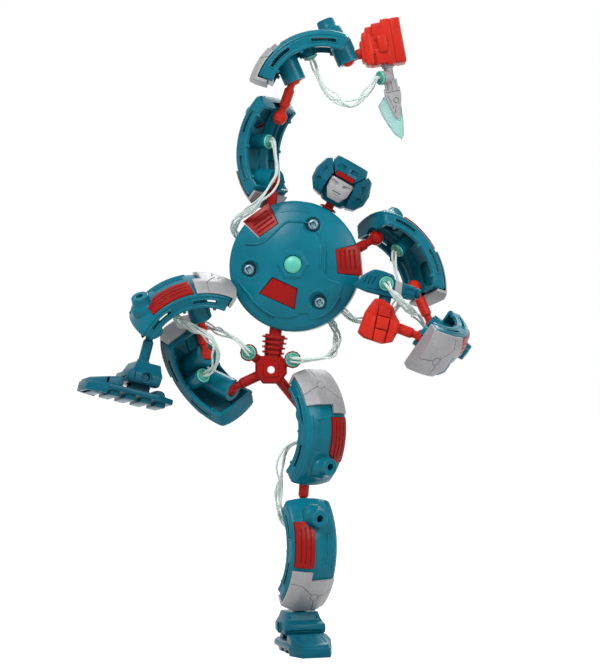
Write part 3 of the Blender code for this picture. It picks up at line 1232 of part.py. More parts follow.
def pose_standing_leg(spots, frames):
    """From the sole up to the hip."""
    foot = Matrix.Rotation(FOOT_TURN, 4, "Z")
    frames["foot_left"] = foot
    frames["ankle_left"] = foot @ Matrix.Translation(FOOT_HINGE + Vector((0, 0, ANKLE_PIN_LOW)))
    spots["foot_left"] = foot @ FOOT_HINGE
    spots["ankle_left"] = frames["ankle_left"] @ Vector((0, 0, ANKLE[2] / 2)) + Vector((0, 0, ANKLE_ROD))
    spots["knee_left"] = place_limb("shin_left", spots["ankle_left"], True, frames)
    spots["knee_high_left"] = spots["knee_left"] + unit(*KNEE_LEFT_WAY) * LINK
    spots["hip_left"] = place_limb("thigh_left", spots["knee_high_left"], False, frames)
    spots["hub"] = spots["hip_left"] + HUB_FROM_HIP


def pose_raised_leg(spots, frames):
    """From the hub out to the foot that is off the ground."""
    spots["hip_right"] = spots["hub"] + RIGHT_HIP_FROM_HUB
    spots["knee_right"] = place_limb("thigh_right", spots["hip_right"], False, frames)
    spots["knee_high_right"] = spots["knee_right"] + unit(*KNEE_RIGHT_WAY) * LINK
    spots["ankle_right"] = place_limb("shin_right", spots["knee_high_right"], True, frames)
    across = Vector(RIGHT_FOOT_ACROSS).normalized()
    heel = Vector(RIGHT_HEEL_WAY)
    turn = facing(across.cross(heel), heel)
    top = spots["ankle_right"] + unit(*RIGHT_ANKLE_WAY) * ANKLE_ROD
    frames["ankle_right"] = Matrix.Translation(top) @ turn @ Matrix.Translation((0, 0, -ANKLE[2] / 2))
    down = -FOOT_HINGE - Vector((0, 0, ANKLE_PIN_LOW))
    frames["foot_right"] = frames["ankle_right"] @ Matrix.Translation(down)
    spots["foot_right"] = frames["foot_right"] @ FOOT_HINGE


def pose_torso(spots, frames):
    """The disc over the hub, and the head on its post."""
    turn = TORSO_TURN.to_4x4()
    torso = spots["hub"] + COLUMN_WAY * COLUMN - turn @ disc_spot(DISC_R, WAIST_ANGLE)
    spots["torso"] = torso
    frames["torso"] = Matrix.Translation(torso) @ turn
    for side, spot in SHOULDER_BALLS.items():
        spots["shoulder_" + side] = torso + spot
    neck_way = (turn @ disc_spot(1, NECK_ANGLE)).normalized()
    spots["neck"] = torso + neck_way * (DISC_R + NECK_LONG)
    frames["head"] = (Matrix.Translation(spots["neck"]) @ facing(neck_way, (0, 1, 0))
                      @ Matrix.Translation(-NECK_IN_HEAD))


def pose_arms(spots, frames):
    """From each shoulder out to the fist and what it grips."""
    spots["elbow_right"] = place_limb("upper_arm_right", spots["shoulder_right"], True, frames)
    spots["elbow_high_right"] = spots["elbow_right"] + unit(*ELBOW_RIGHT_WAY) * LINK
    spots["wrist_right"] = place_limb("forearm_right", spots["elbow_high_right"], True, frames)
    spots["elbow_left"] = place_limb("upper_arm_left", spots["shoulder_left"], False, frames)
    spots["elbow_low_left"] = spots["elbow_left"] + unit(*ELBOW_LEFT_WAY) * LINK
    spots["wrist_left"] = place_limb("forearm_left", spots["elbow_low_left"], False, frames)
    for side, (reach, up) in FISTS.items():
        spots["grip_" + side] = spots["wrist_" + side] + reach
        frames["grip_" + side] = Matrix.Translation(spots["grip_" + side]) @ facing(up, (0, 1, 0))


def rod_ways(spots, frames):
    """The way that the rod leaves each socket, by limb and by end."""
    shoulder = {side: frames["torso"] @ disc_spot(SHOULDER_ROOT_R, SHOULDER_ROOTS[side])
                - spots["shoulder_" + side] for side in SHOULDER_ROOTS}
    return {
        "shin_left": {True: Vector((0, 0, -1)), False: Vector(KNEE_LEFT_WAY)},
        "thigh_left": {False: -Vector(KNEE_LEFT_WAY), True: spots["hub"] - spots["hip_left"]},
        "thigh_right": {False: spots["hub"] - spots["hip_right"], True: Vector(KNEE_RIGHT_WAY)},
        "shin_right": {True: -Vector(KNEE_RIGHT_WAY), False: Vector(RIGHT_ANKLE_WAY)},
        "upper_arm_right": {True: shoulder["right"], False: Vector(ELBOW_RIGHT_WAY)},
        "forearm_right": {True: -Vector(ELBOW_RIGHT_WAY), False: FISTS["right"][0]},
        "upper_arm_left": {False: shoulder["left"], True: Vector(ELBOW_LEFT_WAY)},
        "forearm_left": {False: -Vector(ELBOW_LEFT_WAY), True: FISTS["left"][0]},
    }


def make_limbs(spots, frames):
    ways = rod_ways(spots, frames)
    return {key: [make_shell(limb, frames[key], ways[key]), make_cap(limb, frames[key], ways[key]),
                  make_panel(limb, frames[key])] for key, limb in LIMBS.items()}


def make_torso(spots, frame):
    pieces = [make_front_shell(frame), make_back_shell(frame), make_lens(frame), make_belly_panel(frame)]
    pieces += [make_screw(number, spot, frame) for number, spot in enumerate(screw_spots(), 1)]
    pieces += [make_shoulder(side, frame, spots["shoulder_" + side]) for side in SHOULDER_ANGLES]
    return pieces + [make_neck(frame, spots["neck"])]


def make_links(spots):
    ends = {"elbow_link_right": ("elbow_right", "elbow_high_right"),
            "elbow_link_left": ("elbow_left", "elbow_low_left"),
            "knee_link_left": ("knee_left", "knee_high_left"),
            "knee_link_right": ("knee_right", "knee_high_right")}
    return {name: [make_link(name, spots[start], spots[end])] for name, (start, end) in ends.items()}


def make_bodies(spots, frames):
    """Every rigid body of the robot, as the pieces that move together."""
    bodies = make_limbs(spots, frames)
    bodies.update(make_links(spots))
    bodies["torso"] = make_torso(spots, frames["torso"])
    bodies["head"] = [make_helmet(frames["head"]), make_face(frames["head"]), make_face_trim(frames["head"])]
    bodies["pelvis"] = [make_pelvis(spots["hub"], [spots["hip_left"], spots["hip_right"]])]
    for side in FISTS:
        grip = frames["grip_" + side]
        bodies["hand_" + side] = [make_hand(side, spots["wrist_" + side], grip)]
        bodies["ankle_" + side] = [make_ankle(side, spots["ankle_" + side], frames["ankle_" + side])]
        bodies["foot_" + side] = [make_foot(side, frames["foot_" + side])]
    bodies["dagger"] = [make_dagger_hilt(frames["grip_right"]), make_blade(frames["grip_right"])]
    bodies["blaster"] = [make_blaster(frames["grip_left"])]
    return bodies


def hang_bodies(bodies, spots):
    """Hangs each body on an empty at the joint that it turns on, from the torso outwards."""
    empties = {}
    for body, (carrier, spot) in JOINTS.items():
        empties[body] = pivot(body + "_pivot", spots[spot], bodies[body], empties.get(carrier))


def boss_end(key, frames):
    """Where a shell's plug sits, and the way its stem goes in."""
    frame = frames[key]
    return frame @ Vector(LIMBS[key].boss), (frame.to_3x3() @ Vector((0, 0, 1))).normalized()


def back_end(angle, frames):
    """Where a plug sits in the torso's back, and the way its stem goes in."""
    frame = frames["torso"]
    seat = disc_spot(ANCHOR_R, angle, -(dome_height(ANCHOR_R, BACK_DOME) + ANCHOR_TALL))
    return frame @ seat, (frame.to_3x3() @ Vector((0, 0, 1))).normalized()


def pelvis_end(side, spots):
    return spots["hub"] + Vector(PELVIS_SOCKETS[side]), Vector((0, 1, 0))


def hilt_end(frames):
    seat, way = hilt_plug()
    return frames["grip_right"] @ seat, (frames["grip_right"].to_3x3() @ way).normalized()


def blaster_end(frames):
    frame = frames["grip_left"]
    return frame @ blaster_plug(), (frame.to_3x3() @ Vector((0, 1, 0))).normalized()


def make_strands(spots, frames):
    def inside(key):
        return boss_end(key, frames)

    def strand(name, start, end, route):
        make_strand("strands_" + name, [start, end], {(0, 1): ROUTES[route]})

    right_back, waist_back, left_back = [back_end(angle, frames) for angle in ANCHOR_ANGLES]
    strand("right_forearm", inside("forearm_right"), hilt_end(frames), "forearm_right")
    strand("right_arm", inside("upper_arm_right"), right_back, "upper_arm_right")
    strand("left_arm", inside("upper_arm_left"), left_back, "upper_arm_left")
    strand("left_forearm", inside("forearm_left"), blaster_end(frames), "forearm_left")
    strand("waist", pelvis_end("left", spots), waist_back, "waist")
    strand("standing_leg", inside("thigh_left"), inside("shin_left"), "standing_leg")
    make_strand("strands_raised_leg",
                [pelvis_end("right", spots), inside("shin_right"), inside("thigh_right")],
                {(0, 1): ROUTES["pelvis_to_shin"], (2, 1): ROUTES["thigh_to_shin"]})


def build():
    """Poses the robot, makes its bodies and their strands, and hangs each body on its joint."""
    spots, frames = {}, {}
    pose_standing_leg(spots, frames)
    pose_raised_leg(spots, frames)
    pose_torso(spots, frames)
    pose_arms(spots, frames)
    bodies = make_bodies(spots, frames)
    make_strands(spots, frames)
    hang_bodies(bodies, spots)
    return bodies, spots, frames


def main():
    clear_scene()
    build()


ROBOT = collection("toy_robot")
if __name__ == "__main__":
    main()
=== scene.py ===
import json
from math import acos, cos, degrees, hypot, pi, radians, sin, sqrt

import bmesh
import bpy
from mathutils import Matrix, Vector


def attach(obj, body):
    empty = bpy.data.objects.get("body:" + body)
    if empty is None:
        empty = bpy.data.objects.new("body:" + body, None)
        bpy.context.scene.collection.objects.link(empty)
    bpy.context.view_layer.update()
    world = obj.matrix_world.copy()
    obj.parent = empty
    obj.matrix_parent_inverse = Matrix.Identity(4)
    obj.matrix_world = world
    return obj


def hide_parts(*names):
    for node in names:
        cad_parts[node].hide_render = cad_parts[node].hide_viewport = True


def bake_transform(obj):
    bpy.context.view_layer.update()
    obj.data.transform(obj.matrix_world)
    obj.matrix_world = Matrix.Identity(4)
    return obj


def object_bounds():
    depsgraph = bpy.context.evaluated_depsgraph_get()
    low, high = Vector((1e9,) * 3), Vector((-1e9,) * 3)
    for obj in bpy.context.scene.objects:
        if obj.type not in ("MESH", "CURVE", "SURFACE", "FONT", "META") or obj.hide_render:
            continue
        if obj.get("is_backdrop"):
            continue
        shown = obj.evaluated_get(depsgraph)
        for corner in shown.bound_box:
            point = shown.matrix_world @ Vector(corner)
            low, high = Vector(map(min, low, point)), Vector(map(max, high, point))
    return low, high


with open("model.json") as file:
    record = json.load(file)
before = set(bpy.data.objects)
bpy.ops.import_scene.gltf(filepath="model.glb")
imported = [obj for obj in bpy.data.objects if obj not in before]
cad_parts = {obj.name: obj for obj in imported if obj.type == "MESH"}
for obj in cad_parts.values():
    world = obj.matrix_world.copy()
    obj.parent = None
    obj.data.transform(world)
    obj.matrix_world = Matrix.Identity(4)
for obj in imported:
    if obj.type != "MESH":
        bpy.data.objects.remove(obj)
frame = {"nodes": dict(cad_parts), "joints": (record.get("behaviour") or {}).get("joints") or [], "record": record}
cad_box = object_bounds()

# ---- Studio ---------------------------------------------------------------------------------------------
# A pale sheet of card under the robot, a white room, one large soft lamp from the upper left and two
# weaker ones, and a long lens held level at half the robot's height.
MM = 0.001
LENS_MM = 130.9
EYE = Vector((-1.65, -1200.0, 174.35)) * MM
ROOM_LIGHT = 0.42
CARD_GREY = (0.50, 0.50, 0.50, 1)
CARD_GLOW = 0.80
CARD_R = 9.0
# Each lamp: its place, the height that it is aimed at, its size and its watts.
LAMPS = {
    "key_lamp": ((-0.60, -0.95, 1.25), 0.18, 0.60, 17.0),
    "fill_lamp": ((0.85, -0.95, 0.75), 0.20, 0.55, 8.0),
    "back_lamp": ((0.30, 0.85, 1.10), 0.20, 0.60, 9.0),
}


def linked(name, data):
    """A new object, set down in the studio."""
    made = bpy.data.objects.new(name, data)
    bpy.context.scene.collection.objects.link(made)
    return made


lens = bpy.data.cameras.new("portrait_lens")
lens.lens, lens.sensor_width, lens.sensor_fit = LENS_MM, 36.0, "HORIZONTAL"
eye = linked("portrait_lens", lens)
eye.location, eye.rotation_euler = EYE, (pi / 2, 0.0, 0.0)
bpy.context.scene.camera = eye
bpy.context.scene.view_settings.view_transform = "Standard"

for name, (place, aim, size, watts) in LAMPS.items():
    lamp = bpy.data.lights.new(name, "AREA")
    lamp.shape, lamp.size, lamp.energy = "SQUARE", size, watts
    stand = linked(name, lamp)
    stand.location = place
    stand.rotation_euler = (Vector((0, 0, aim)) - Vector(place)).to_track_quat("-Z", "Y").to_euler()


class Mixing:
    """One socket in a finish's recipe. Numbers add and multiply through Math nodes, places and colours
    through Vector Math."""

    def __init__(self, tree, socket):
        self.tree = tree
        self.socket = socket

    def node(self, kind, settings=None, sockets=None, out=0):
        """Any other node: its settings are set first, then the values or links of its sockets."""
        made = self.tree.nodes.new(kind)
        for name, value in (settings or {}).items():
            if name == "stops":
                for stop, (spot, colour) in zip(made.color_ramp.elements, value):
                    stop.position, stop.color = spot, (*colour, 1)
            else:
                setattr(made, name, value)
        for name, value in (sockets or {}).items():
            if isinstance(value, Mixing):
                self.tree.links.new(value.socket, made.inputs[name])
            else:
                made.inputs[name].default_value = value
        return Mixing(self.tree, made.outputs[out])

    def sum(self, operation, first, second):
        """One Math node, or one Vector Math node where either side is a place or a colour."""
        sides = (first, second)
        if not any(isinstance(s, Mixing) and s.socket.type in ("VECTOR", "RGBA") for s in sides):
            return self.node("ShaderNodeMath", {"operation": operation}, {0: first, 1: second})
        share = [s for s in sides if isinstance(s, (int, float))]
        if operation == "MULTIPLY" and share:
            return self.node("ShaderNodeVectorMath", {"operation": "SCALE"}, {0: self, 3: share[0]})
        return self.node("ShaderNodeVectorMath", {"operation": operation}, {0: first, 1: second})

    def __add__(self, other):
        return self.sum("ADD", self, other)

    def __radd__(self, other):
        return self.sum("ADD", other, self)

    def __sub__(self, other):
        return self.sum("SUBTRACT", self, other)

    def __rsub__(self, other):
        return self.sum("SUBTRACT", other, self)

    def __mul__(self, other):
        return self.sum("MULTIPLY", self, other)

    def __rmul__(self, other):
        return self.sum("MULTIPLY", other, self)

    def __gt__(self, other):
        return self.sum("GREATER_THAN", self, other)

    def held(self, low=0.0, high=1.0):
        """Kept between two numbers."""
        return self.node("ShaderNodeClamp", None, {"Value": self, "Min": low, "Max": high})

    def toward(self, colour, share):
        """This colour mixed with another by a share."""
        return self.node("ShaderNodeMix", {"data_type": "RGBA"}, {0: share, 6: self, 7: (*colour, 1)}, 2)

    def noise(self, scale, detail=3.0, rough=0.55):
        """Soft clouds or fine grain over this place."""
        return self.node("ShaderNodeTexNoise", None,
                         {"Vector": self, "Scale": scale, "Detail": detail, "Roughness": rough})

    def tinted(self, dark, light, low=0.3, high=0.7):
        """A colour that runs from dark to light as this value rises."""
        return self.node("ShaderNodeValToRGB", {"stops": ((low, dark), (high, light))}, {"Fac": self})

    def bumped(self, strength, depth, **under):
        """The normal of a surface that this value raises."""
        return self.node("ShaderNodeBump", None,
                         {"Strength": strength, "Distance": depth, "Height": self, **under})


def seen_plain(tree):
    """1 where the lens, a gloss or a clear piece looks straight at a surface, else 0."""
    path = tree.nodes.new("ShaderNodeLightPath")
    straight, gloss, clear = (Mixing(tree, path.outputs["Is %s Ray" % way])
                              for way in ("Camera", "Glossy", "Transmission"))
    return (straight + gloss + clear).held()


def white_room():
    """White walls that look brighter than they light."""
    room = bpy.data.worlds.new("white_room")
    room.use_nodes = True
    tree = room.node_tree
    wall = tree.nodes["Background"]
    wall.inputs["Color"].default_value = (1, 1, 1, 1)
    strength = ROOM_LIGHT + seen_plain(tree) * (1.0 - ROOM_LIGHT)
    tree.links.new(strength.socket, wall.inputs["Strength"])
    bpy.context.scene.world = room


def pale_card():
    """Card that keeps the robot's shadow, and looks as white as the walls."""
    card = bpy.data.materials.new("pale_card")
    card.use_nodes = True
    tree = card.node_tree
    tree.nodes.clear()
    seen = seen_plain(tree)
    lit, faint = (seen.node("ShaderNodeBsdfDiffuse", None, {"Color": CARD_GREY}) for _ in range(2))
    glow = seen.node("ShaderNodeEmission", None, {"Color": (1, 1, 1, 1), "Strength": CARD_GLOW})
    bright = seen.node("ShaderNodeAddShader", None, {0: glow, 1: faint})
    both = seen.node("ShaderNodeMixShader", None, {0: seen, 1: lit, 2: bright})
    tree.links.new(both.socket, tree.nodes.new("ShaderNodeOutputMaterial").inputs["Surface"])
    return card


def card_floor():
    """A round card, big enough to pass for the whole ground."""
    shape = bmesh.new()
    bmesh.ops.create_circle(shape, cap_ends=True, segments=96, radius=CARD_R)
    mesh = bpy.data.meshes.new("card_floor")
    shape.to_mesh(mesh)
    shape.free()
    mesh.materials.append(pale_card())
    linked("card_floor", mesh)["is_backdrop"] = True


white_room()
card_floor()

# ---- Clear strands and their plugs --------------------------------------------------------------------
# Bundles of thin clear elastic strands run between soft mint plugs, which are pushed into the shells, the
# hip frame, the back and both weapons. Each bundle is five moulded strands that spread between its ends.
STRANDS = 5
STRAND_THICK = 0.60 * MM
STRAND_SPREAD = (0.85 * MM, 2.15 * MM)
STRAND_STEP = 1.25 * MM
SHORTEST_CORD = 30.2 * MM
# The sizes of moulded and turned pieces are in millimetres, here and below.
PLUG_HEAD = 1.8
PLUG_DEEP = 3.6
PLUG_STEM_R = 2.4
PLUG_R = 4.0
GAP = 0.3
DISC_R = 36.0
RIM = 5.0
DOME = 12.5
BACK_DOME = 9.5
BACK_PLUG_OUT = 25.0
HILT_SEAT = ((-4.8, -3.6, -18.5), (0.8, 0.6, 0.0))
BLASTER_SEAT = (-1.0, -5.0, 20.4)
# Each limb shell: the joint that places it and which of its two balls that is, the (along, outward) places
# of the balls at its cap and at its tail, the ways along it and out of it, and half the arc it spans.
LIMBS = {
    "shin_left": ("ankle_left", 0, ((15, 18), (-22.5, 18)), (-0.04, 0, -1), (0.43, -0.90, 0), 50),
    "thigh_left": ("knee_upper_left", 1, ((9, 18), (-20, 18)), (0.03, 0, 1), (0.60, -0.80, 0), 52),
    "thigh_right": ("hip_right", 1, ((9, 14.5), (-14.2, 14.2)), (-0.58, -0.04, 0.81), (-0.50, 0.80, -0.32), 53),
    "shin_right": ("knee_lower_right", 0, ((9.2, 16.4), (-19, 18)), (0.92, 0.15, 0.37), (-0.25, -0.50, 0.83),
                   47),
    "upper_arm_right": ("shoulder_right", 0, ((17.5, 18), (-17.5, 18)), (-0.10, 0, -0.995),
                        (-0.74, 0.67, 0.07), 50),
    "forearm_right": ("elbow_lower_right", 0, ((9, 17.9), (-22, 15.9)), (-0.92, 0, -0.392), (-0.392, 0, 0.92),
                      47),
    "upper_arm_left": ("shoulder_left", 1, ((17.5, 18), (-17.5, 18)), (0.61, 0.17, -0.77), (0.62, 0.60, 0.50),
                       50),
    "forearm_left": ("elbow_lower_left", 1, ((9, 17.9), (-22, 15.9)), (-0.28, -0.95, -0.16),
                     (0.80, -0.14, -0.59), 49),
}
joint_at = {j["name"]: Vector(j["pos_m"]) for j in frame["joints"] if j.get("pos_m")}


def squared(lead, other):
    """Two ways at right angles: the first as it is given, and the second as near as it can be."""
    lead, other = Vector(lead).normalized(), Vector(other)
    return lead, (other - other.dot(lead) * lead).normalized()


def turn_of(x, y, z):
    """The turn that takes the three plain ways to these."""
    return Matrix((x, y, z)).transposed().to_4x4()


def facing(z, y):
    z, y = squared(z, y)
    return turn_of(y.cross(z), y, z)


def at(*spot):
    """A move by so many millimetres."""
    return Matrix.Translation(Vector(spot) * MM)


def spun(angle, axis):
    return Matrix.Rotation(radians(angle), 4, axis)


def limb_place(joint, end, balls, along, outward, _):
    """Where a limb shell lies: X runs to its capped end and Z is its outside."""
    x, z = squared(along, outward)
    turn = turn_of(x, z.cross(x), z)
    ball = Vector((balls[end][0], 0.0, balls[end][1])) * MM
    return Matrix.Translation(joint_at[joint] - turn.to_3x3() @ ball) @ turn


def dome_height(radius, dome=DOME):
    """How high a torso shell's dome stands at some way out from its middle."""
    rise = dome - RIM
    sphere = (DISC_R ** 2 + rise ** 2) / (2 * rise)
    return sqrt(sphere ** 2 - radius ** 2) - (sphere - dome)


limb_at = {key: limb_place(*limb) for key, limb in LIMBS.items()}
front_way, right_way = squared((-0.093, -0.995, 0.048), (1.0, -0.093, 0.0))
TORSO_TURN = turn_of(right_way, front_way.cross(right_way), front_way)
torso_at = Matrix.Translation(joint_at["shoulder_right"] - Vector((-11.8, 4.0, 47.6)) * MM) @ TORSO_TURN
grip_at = {side: Matrix.Translation(joint_at["wrist_" + side] + Vector(away) * MM) @ facing(up, (0, 1, 0))
           for side, away, up in (("right", (20.0, 0.0, 8.4), (-0.18, 0.0, 0.98)),
                                  ("left", (-22.6, 0.0, 8.6), (0.20, 0.0, 0.98)))}
HUB = joint_at["hip_left"] + Vector((-19.8, -5.7, 24.5)) * MM


def boss_spot(key):
    return (0.4, -7.2, 18.0) if key == "thigh_right" else (-4.0, 0.0, 25.5)


def plug_seat(place, spot, way, body):
    """A plug's seat: where its rim rests, the way its stem goes in, and the body that it is pushed into."""
    return place @ (Vector(spot) * MM), (place.to_3x3() @ Vector(way)).normalized(), body


seats = {key: plug_seat(limb_at[key], boss_spot(key), (0, 0, 1), key) for key in LIMBS}
seats["dagger"] = plug_seat(grip_at["right"], *HILT_SEAT, "dagger")
seats["blaster"] = plug_seat(grip_at["left"], BLASTER_SEAT, (0, 1, 0), "blaster")
for name, spot in (("hip_frame_left", (11.9, -5.5, 5.6)), ("hip_frame_right", (-12.2, -5.5, 9.4))):
    seats[name] = plug_seat(Matrix.Translation(HUB), spot, (0, 1, 0), "pelvis")
for name, angle in (("back_right", 154), ("back_left", 318), ("back_low", 292)):
    spot = (BACK_PLUG_OUT * cos(radians(angle)), BACK_PLUG_OUT * sin(radians(angle)),
            -dome_height(BACK_PLUG_OUT, BACK_DOME) - 2.0)
    seats[name] = plug_seat(torso_at, spot, (0, 0, 1), "torso")


def run_of(points, step):
    """Points read evenly from a smooth curve through the given ones."""
    spots = [Vector(p) for p in points]
    spots = [2 * spots[0] - spots[1]] + spots + [2 * spots[-1] - spots[-2]]
    fine = []
    for a, b, c, d in zip(spots, spots[1:], spots[2:], spots[3:]):
        for i in range(16):
            t = i / 16
            fine.append(0.5 * (2 * b + (c - a) * t + (2 * a - 5 * b + 4 * c - d) * t ** 2
                               + (3 * b - a - 3 * c + d) * t ** 3))
    fine.append(spots[-2])
    far = [0.0]
    for a, b in zip(fine, fine[1:]):
        far.append(far[-1] + (b - a).length)
    count = max(6, round(far[-1] / step))
    even, j = [], 0
    for i in range(count + 1):
        want = far[-1] * i / count
        while j < len(fine) - 2 and far[j + 1] < want:
            j += 1
        even.append(fine[j].lerp(fine[j + 1], (want - far[j]) / max(1e-9, far[j + 1] - far[j])))
    return even, far[-1]


def carried_ways(run):
    """Two sideways directions at each point of a run, carried along it without twisting."""
    ways = []
    side = (run[1] - run[0]).normalized().orthogonal().normalized()
    for i in range(len(run)):
        ahead = (run[min(i + 1, len(run) - 1)] - run[max(i - 1, 0)]).normalized()
        side = (side - side.dot(ahead) * ahead).normalized()
        ways.append((side, ahead.cross(side)))
    return ways


def add_skin(shape, rings, unit=MM):
    """Skins a row of rings of points and closes it at both its ends."""
    rings = [[shape.verts.new([size * unit for size in spot]) for spot in ring] for ring in rings]
    sides = len(rings[0])
    for a, b in zip(rings, rings[1:]):
        for k in range(sides):
            shape.faces.new((a[k], a[(k + 1) % sides], b[(k + 1) % sides], b[k]))
    shape.faces.new(rings[0][::-1])
    shape.faces.new(rings[-1])


def add_tube(shape, run, radii, sides=7):
    """A round closed tube along a run in metres, with a radius for each of its points."""
    turns = [2 * pi * k / sides for k in range(sides)]
    add_skin(shape, [[spot + r * (cos(a) * u + sin(a) * v) for a in turns]
                     for spot, (u, v), r in zip(run, carried_ways(run), radii)], 1.0)


def solid_of(shape, place=None):
    """A solid of a shape, moved to its place, with its faces turned outwards."""
    if place is not None:
        bmesh.ops.transform(shape, matrix=place, verts=shape.verts)
    bmesh.ops.recalc_face_normals(shape, faces=shape.faces)
    mesh = bpy.data.meshes.new("solid")
    shape.to_mesh(mesh)
    shape.free()
    return linked("solid", mesh)


def turned(profile, place=None, sides=40):
    """A solid turned about Z from (radius, height) points."""
    shape = bmesh.new()
    rings = []
    for r, z in profile:
        turns = [2 * pi * k / sides for k in range(sides if r > 1e-6 else 1)]
        rings.append([shape.verts.new((r * cos(a) * MM, r * sin(a) * MM, z * MM)) for a in turns])
    for a, b in zip(rings, rings[1:]):
        for k in range(sides):
            l = (k + 1) % sides
            if len(a) == 1 and len(b) > 1:
                shape.faces.new((a[0], b[k], b[l]))
            elif len(b) == 1 and len(a) > 1:
                shape.faces.new((a[k], a[l], b[0]))
            elif len(a) > 1:
                shape.faces.new((a[k], a[l], b[l], b[k]))
    return solid_of(shape, place)


def finished(body, name, finish, smooth=38.0):
    """Names a piece, gives it its finish, and smooths it apart from its sharp edges."""
    body.name = body.data.name = name
    body.data.materials.clear()
    body.data.materials.append(finish)
    body.data.shade_smooth()
    body.data.set_sharp_from_angle(angle=radians(smooth))
    return body


def placed(body, name, finish, place, carrier, slot, *nodes, smooth=32.0):
    """Finishes a piece, lays it where it goes, and puts it in the CAD nodes' stead."""
    body.data.transform(place)
    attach(finished(body, name, finish, smooth), carrier)
    if nodes:
        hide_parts(*nodes)


def recipe(name):
    """A new finish: its material, its shader and the place on the piece that its patterns follow."""
    material = bpy.data.materials.new(name)
    material.use_nodes = True
    tree = material.node_tree
    place = Mixing(tree, tree.nodes.new("ShaderNodeTexCoord").outputs["Object"])
    return material, tree.nodes["Principled BSDF"], place


def feed(place, shader, **sockets):
    """Puts recipe sockets or plain values on the shader."""
    for name, value in sockets.items():
        socket = shader.inputs[name.replace("_", " ")]
        if isinstance(value, Mixing):
            place.tree.links.new(value.socket, socket)
        else:
            socket.default_value = value


def soft_edge(place, radius):
    """The normal of a slightly rounded edge, and how near to an edge a point is."""
    eased = place.node("ShaderNodeBevel", {"samples": 6}, {"Radius": radius})
    plain = place.node("ShaderNodeNewGeometry", None, None, "Normal")
    match = place.node("ShaderNodeVectorMath", {"operation": "DOT_PRODUCT"}, {0: eased, 1: plain}, "Value")
    return eased, ((1.0 - match) * 5.0).held()


def clear_strand():
    """Clear elastic, a little milky, with small waves along it where it was stretched."""
    material, shader, place = recipe("clear_strand")
    milk = place.noise(420.0, 4.0)
    wave = place.noise(1500.0, 2.0)
    feed(place, shader, Base_Color=milk.tinted((0.62, 0.76, 0.72), (0.84, 0.93, 0.90), 0.3, 0.72),
         Roughness=0.26 + milk * 0.16, Normal=(wave + milk).bumped(0.35, 0.0002), IOR=1.36,
         Transmission_Weight=0.30, Specular_IOR_Level=0.4, Subsurface_Weight=0.25,
         Subsurface_Radius=(1.0, 1.0, 1.0), Subsurface_Scale=0.001)
    return material


def mint_rubber(name, dark, light, pale):
    """Soft mint rubber that light soaks into, with fine moulding grain and slightly worn rims."""
    material, shader, place = recipe(name)
    eased, edge = soft_edge(place, 0.0003)
    cloud = place.noise(160.0, 4.0)
    feed(place, shader, Base_Color=cloud.tinted(dark, light).toward(pale, edge * 0.45),
         Roughness=0.30 + cloud * 0.14, Normal=place.noise(2600.0, 2.0).bumped(0.22, 0.0001, Normal=eased),
         Subsurface_Weight=0.22, Subsurface_Radius=(0.4, 1.0, 0.8), Subsurface_Scale=0.0012)
    return material


CLEAR = clear_strand()
MINT = mint_rubber("mint_rubber", (0.060, 0.400, 0.300), (0.100, 0.530, 0.410), (0.36, 0.76, 0.64))
DEEP_MINT = mint_rubber("deep_mint_rubber", (0.030, 0.205, 0.165), (0.060, 0.300, 0.245), (0.20, 0.52, 0.44))


def plug_piece(name):
    """A mushroom plug: a stem in the hole, a dished head and a paler collar that holds the strands."""
    seat, way, body = seats[name]
    place = Matrix.Translation(seat) @ way.to_track_quat("Z", "Y").to_matrix().to_4x4()
    dome = [(0.0, -PLUG_HEAD * 1.02), (0.9, -PLUG_HEAD * 1.02), (1.2, -PLUG_HEAD * 1.14),
            (2.2, -PLUG_HEAD * 1.10), (2.9, -PLUG_HEAD * 0.86), (3.1, -PLUG_HEAD * 0.5), (3.1, -GAP),
            (PLUG_STEM_R, -GAP), (PLUG_STEM_R, PLUG_DEEP - 0.8), (PLUG_STEM_R * 0.85, PLUG_DEEP),
            (0.0, PLUG_DEEP)]
    collar = [(3.12, -GAP * 1.4), (PLUG_R * 0.94, -GAP * 1.4), (PLUG_R, -PLUG_HEAD * 0.35),
              (PLUG_R * 0.96, -PLUG_HEAD * 0.62), (3.5, -PLUG_HEAD * 0.78), (3.12, -PLUG_HEAD * 0.72),
              (3.12, -GAP * 1.4)]
    for part, profile, finish in (("_plug", dome, DEEP_MINT), ("_collar", collar, MINT)):
        placed(turned(profile, place, 28), name + part, finish, Matrix(), body, "mint_rubber", smooth=38.0)


def one_strand(run, ways, number, first, final):
    """A strand's own path in its bundle, which spreads towards the middle and winds a little."""
    last = len(run) - 1
    spots = []
    for i in range(first, final + 1):
        t = i / last
        out = STRAND_SPREAD[0] + (STRAND_SPREAD[1] - STRAND_SPREAD[0]) * sin(pi * t) ** 0.7
        out *= 0.82 + 0.18 * sin(5.0 * t * pi + 2.1 * number)
        turn = 2 * pi * number / STRANDS + 1.7 * sin(2.2 * pi * t + 0.9 * number) + 2.4 * t
        u, v = ways[i]
        spots.append(run[i] + out * (cos(turn) * u + sin(turn) * v))
    return spots


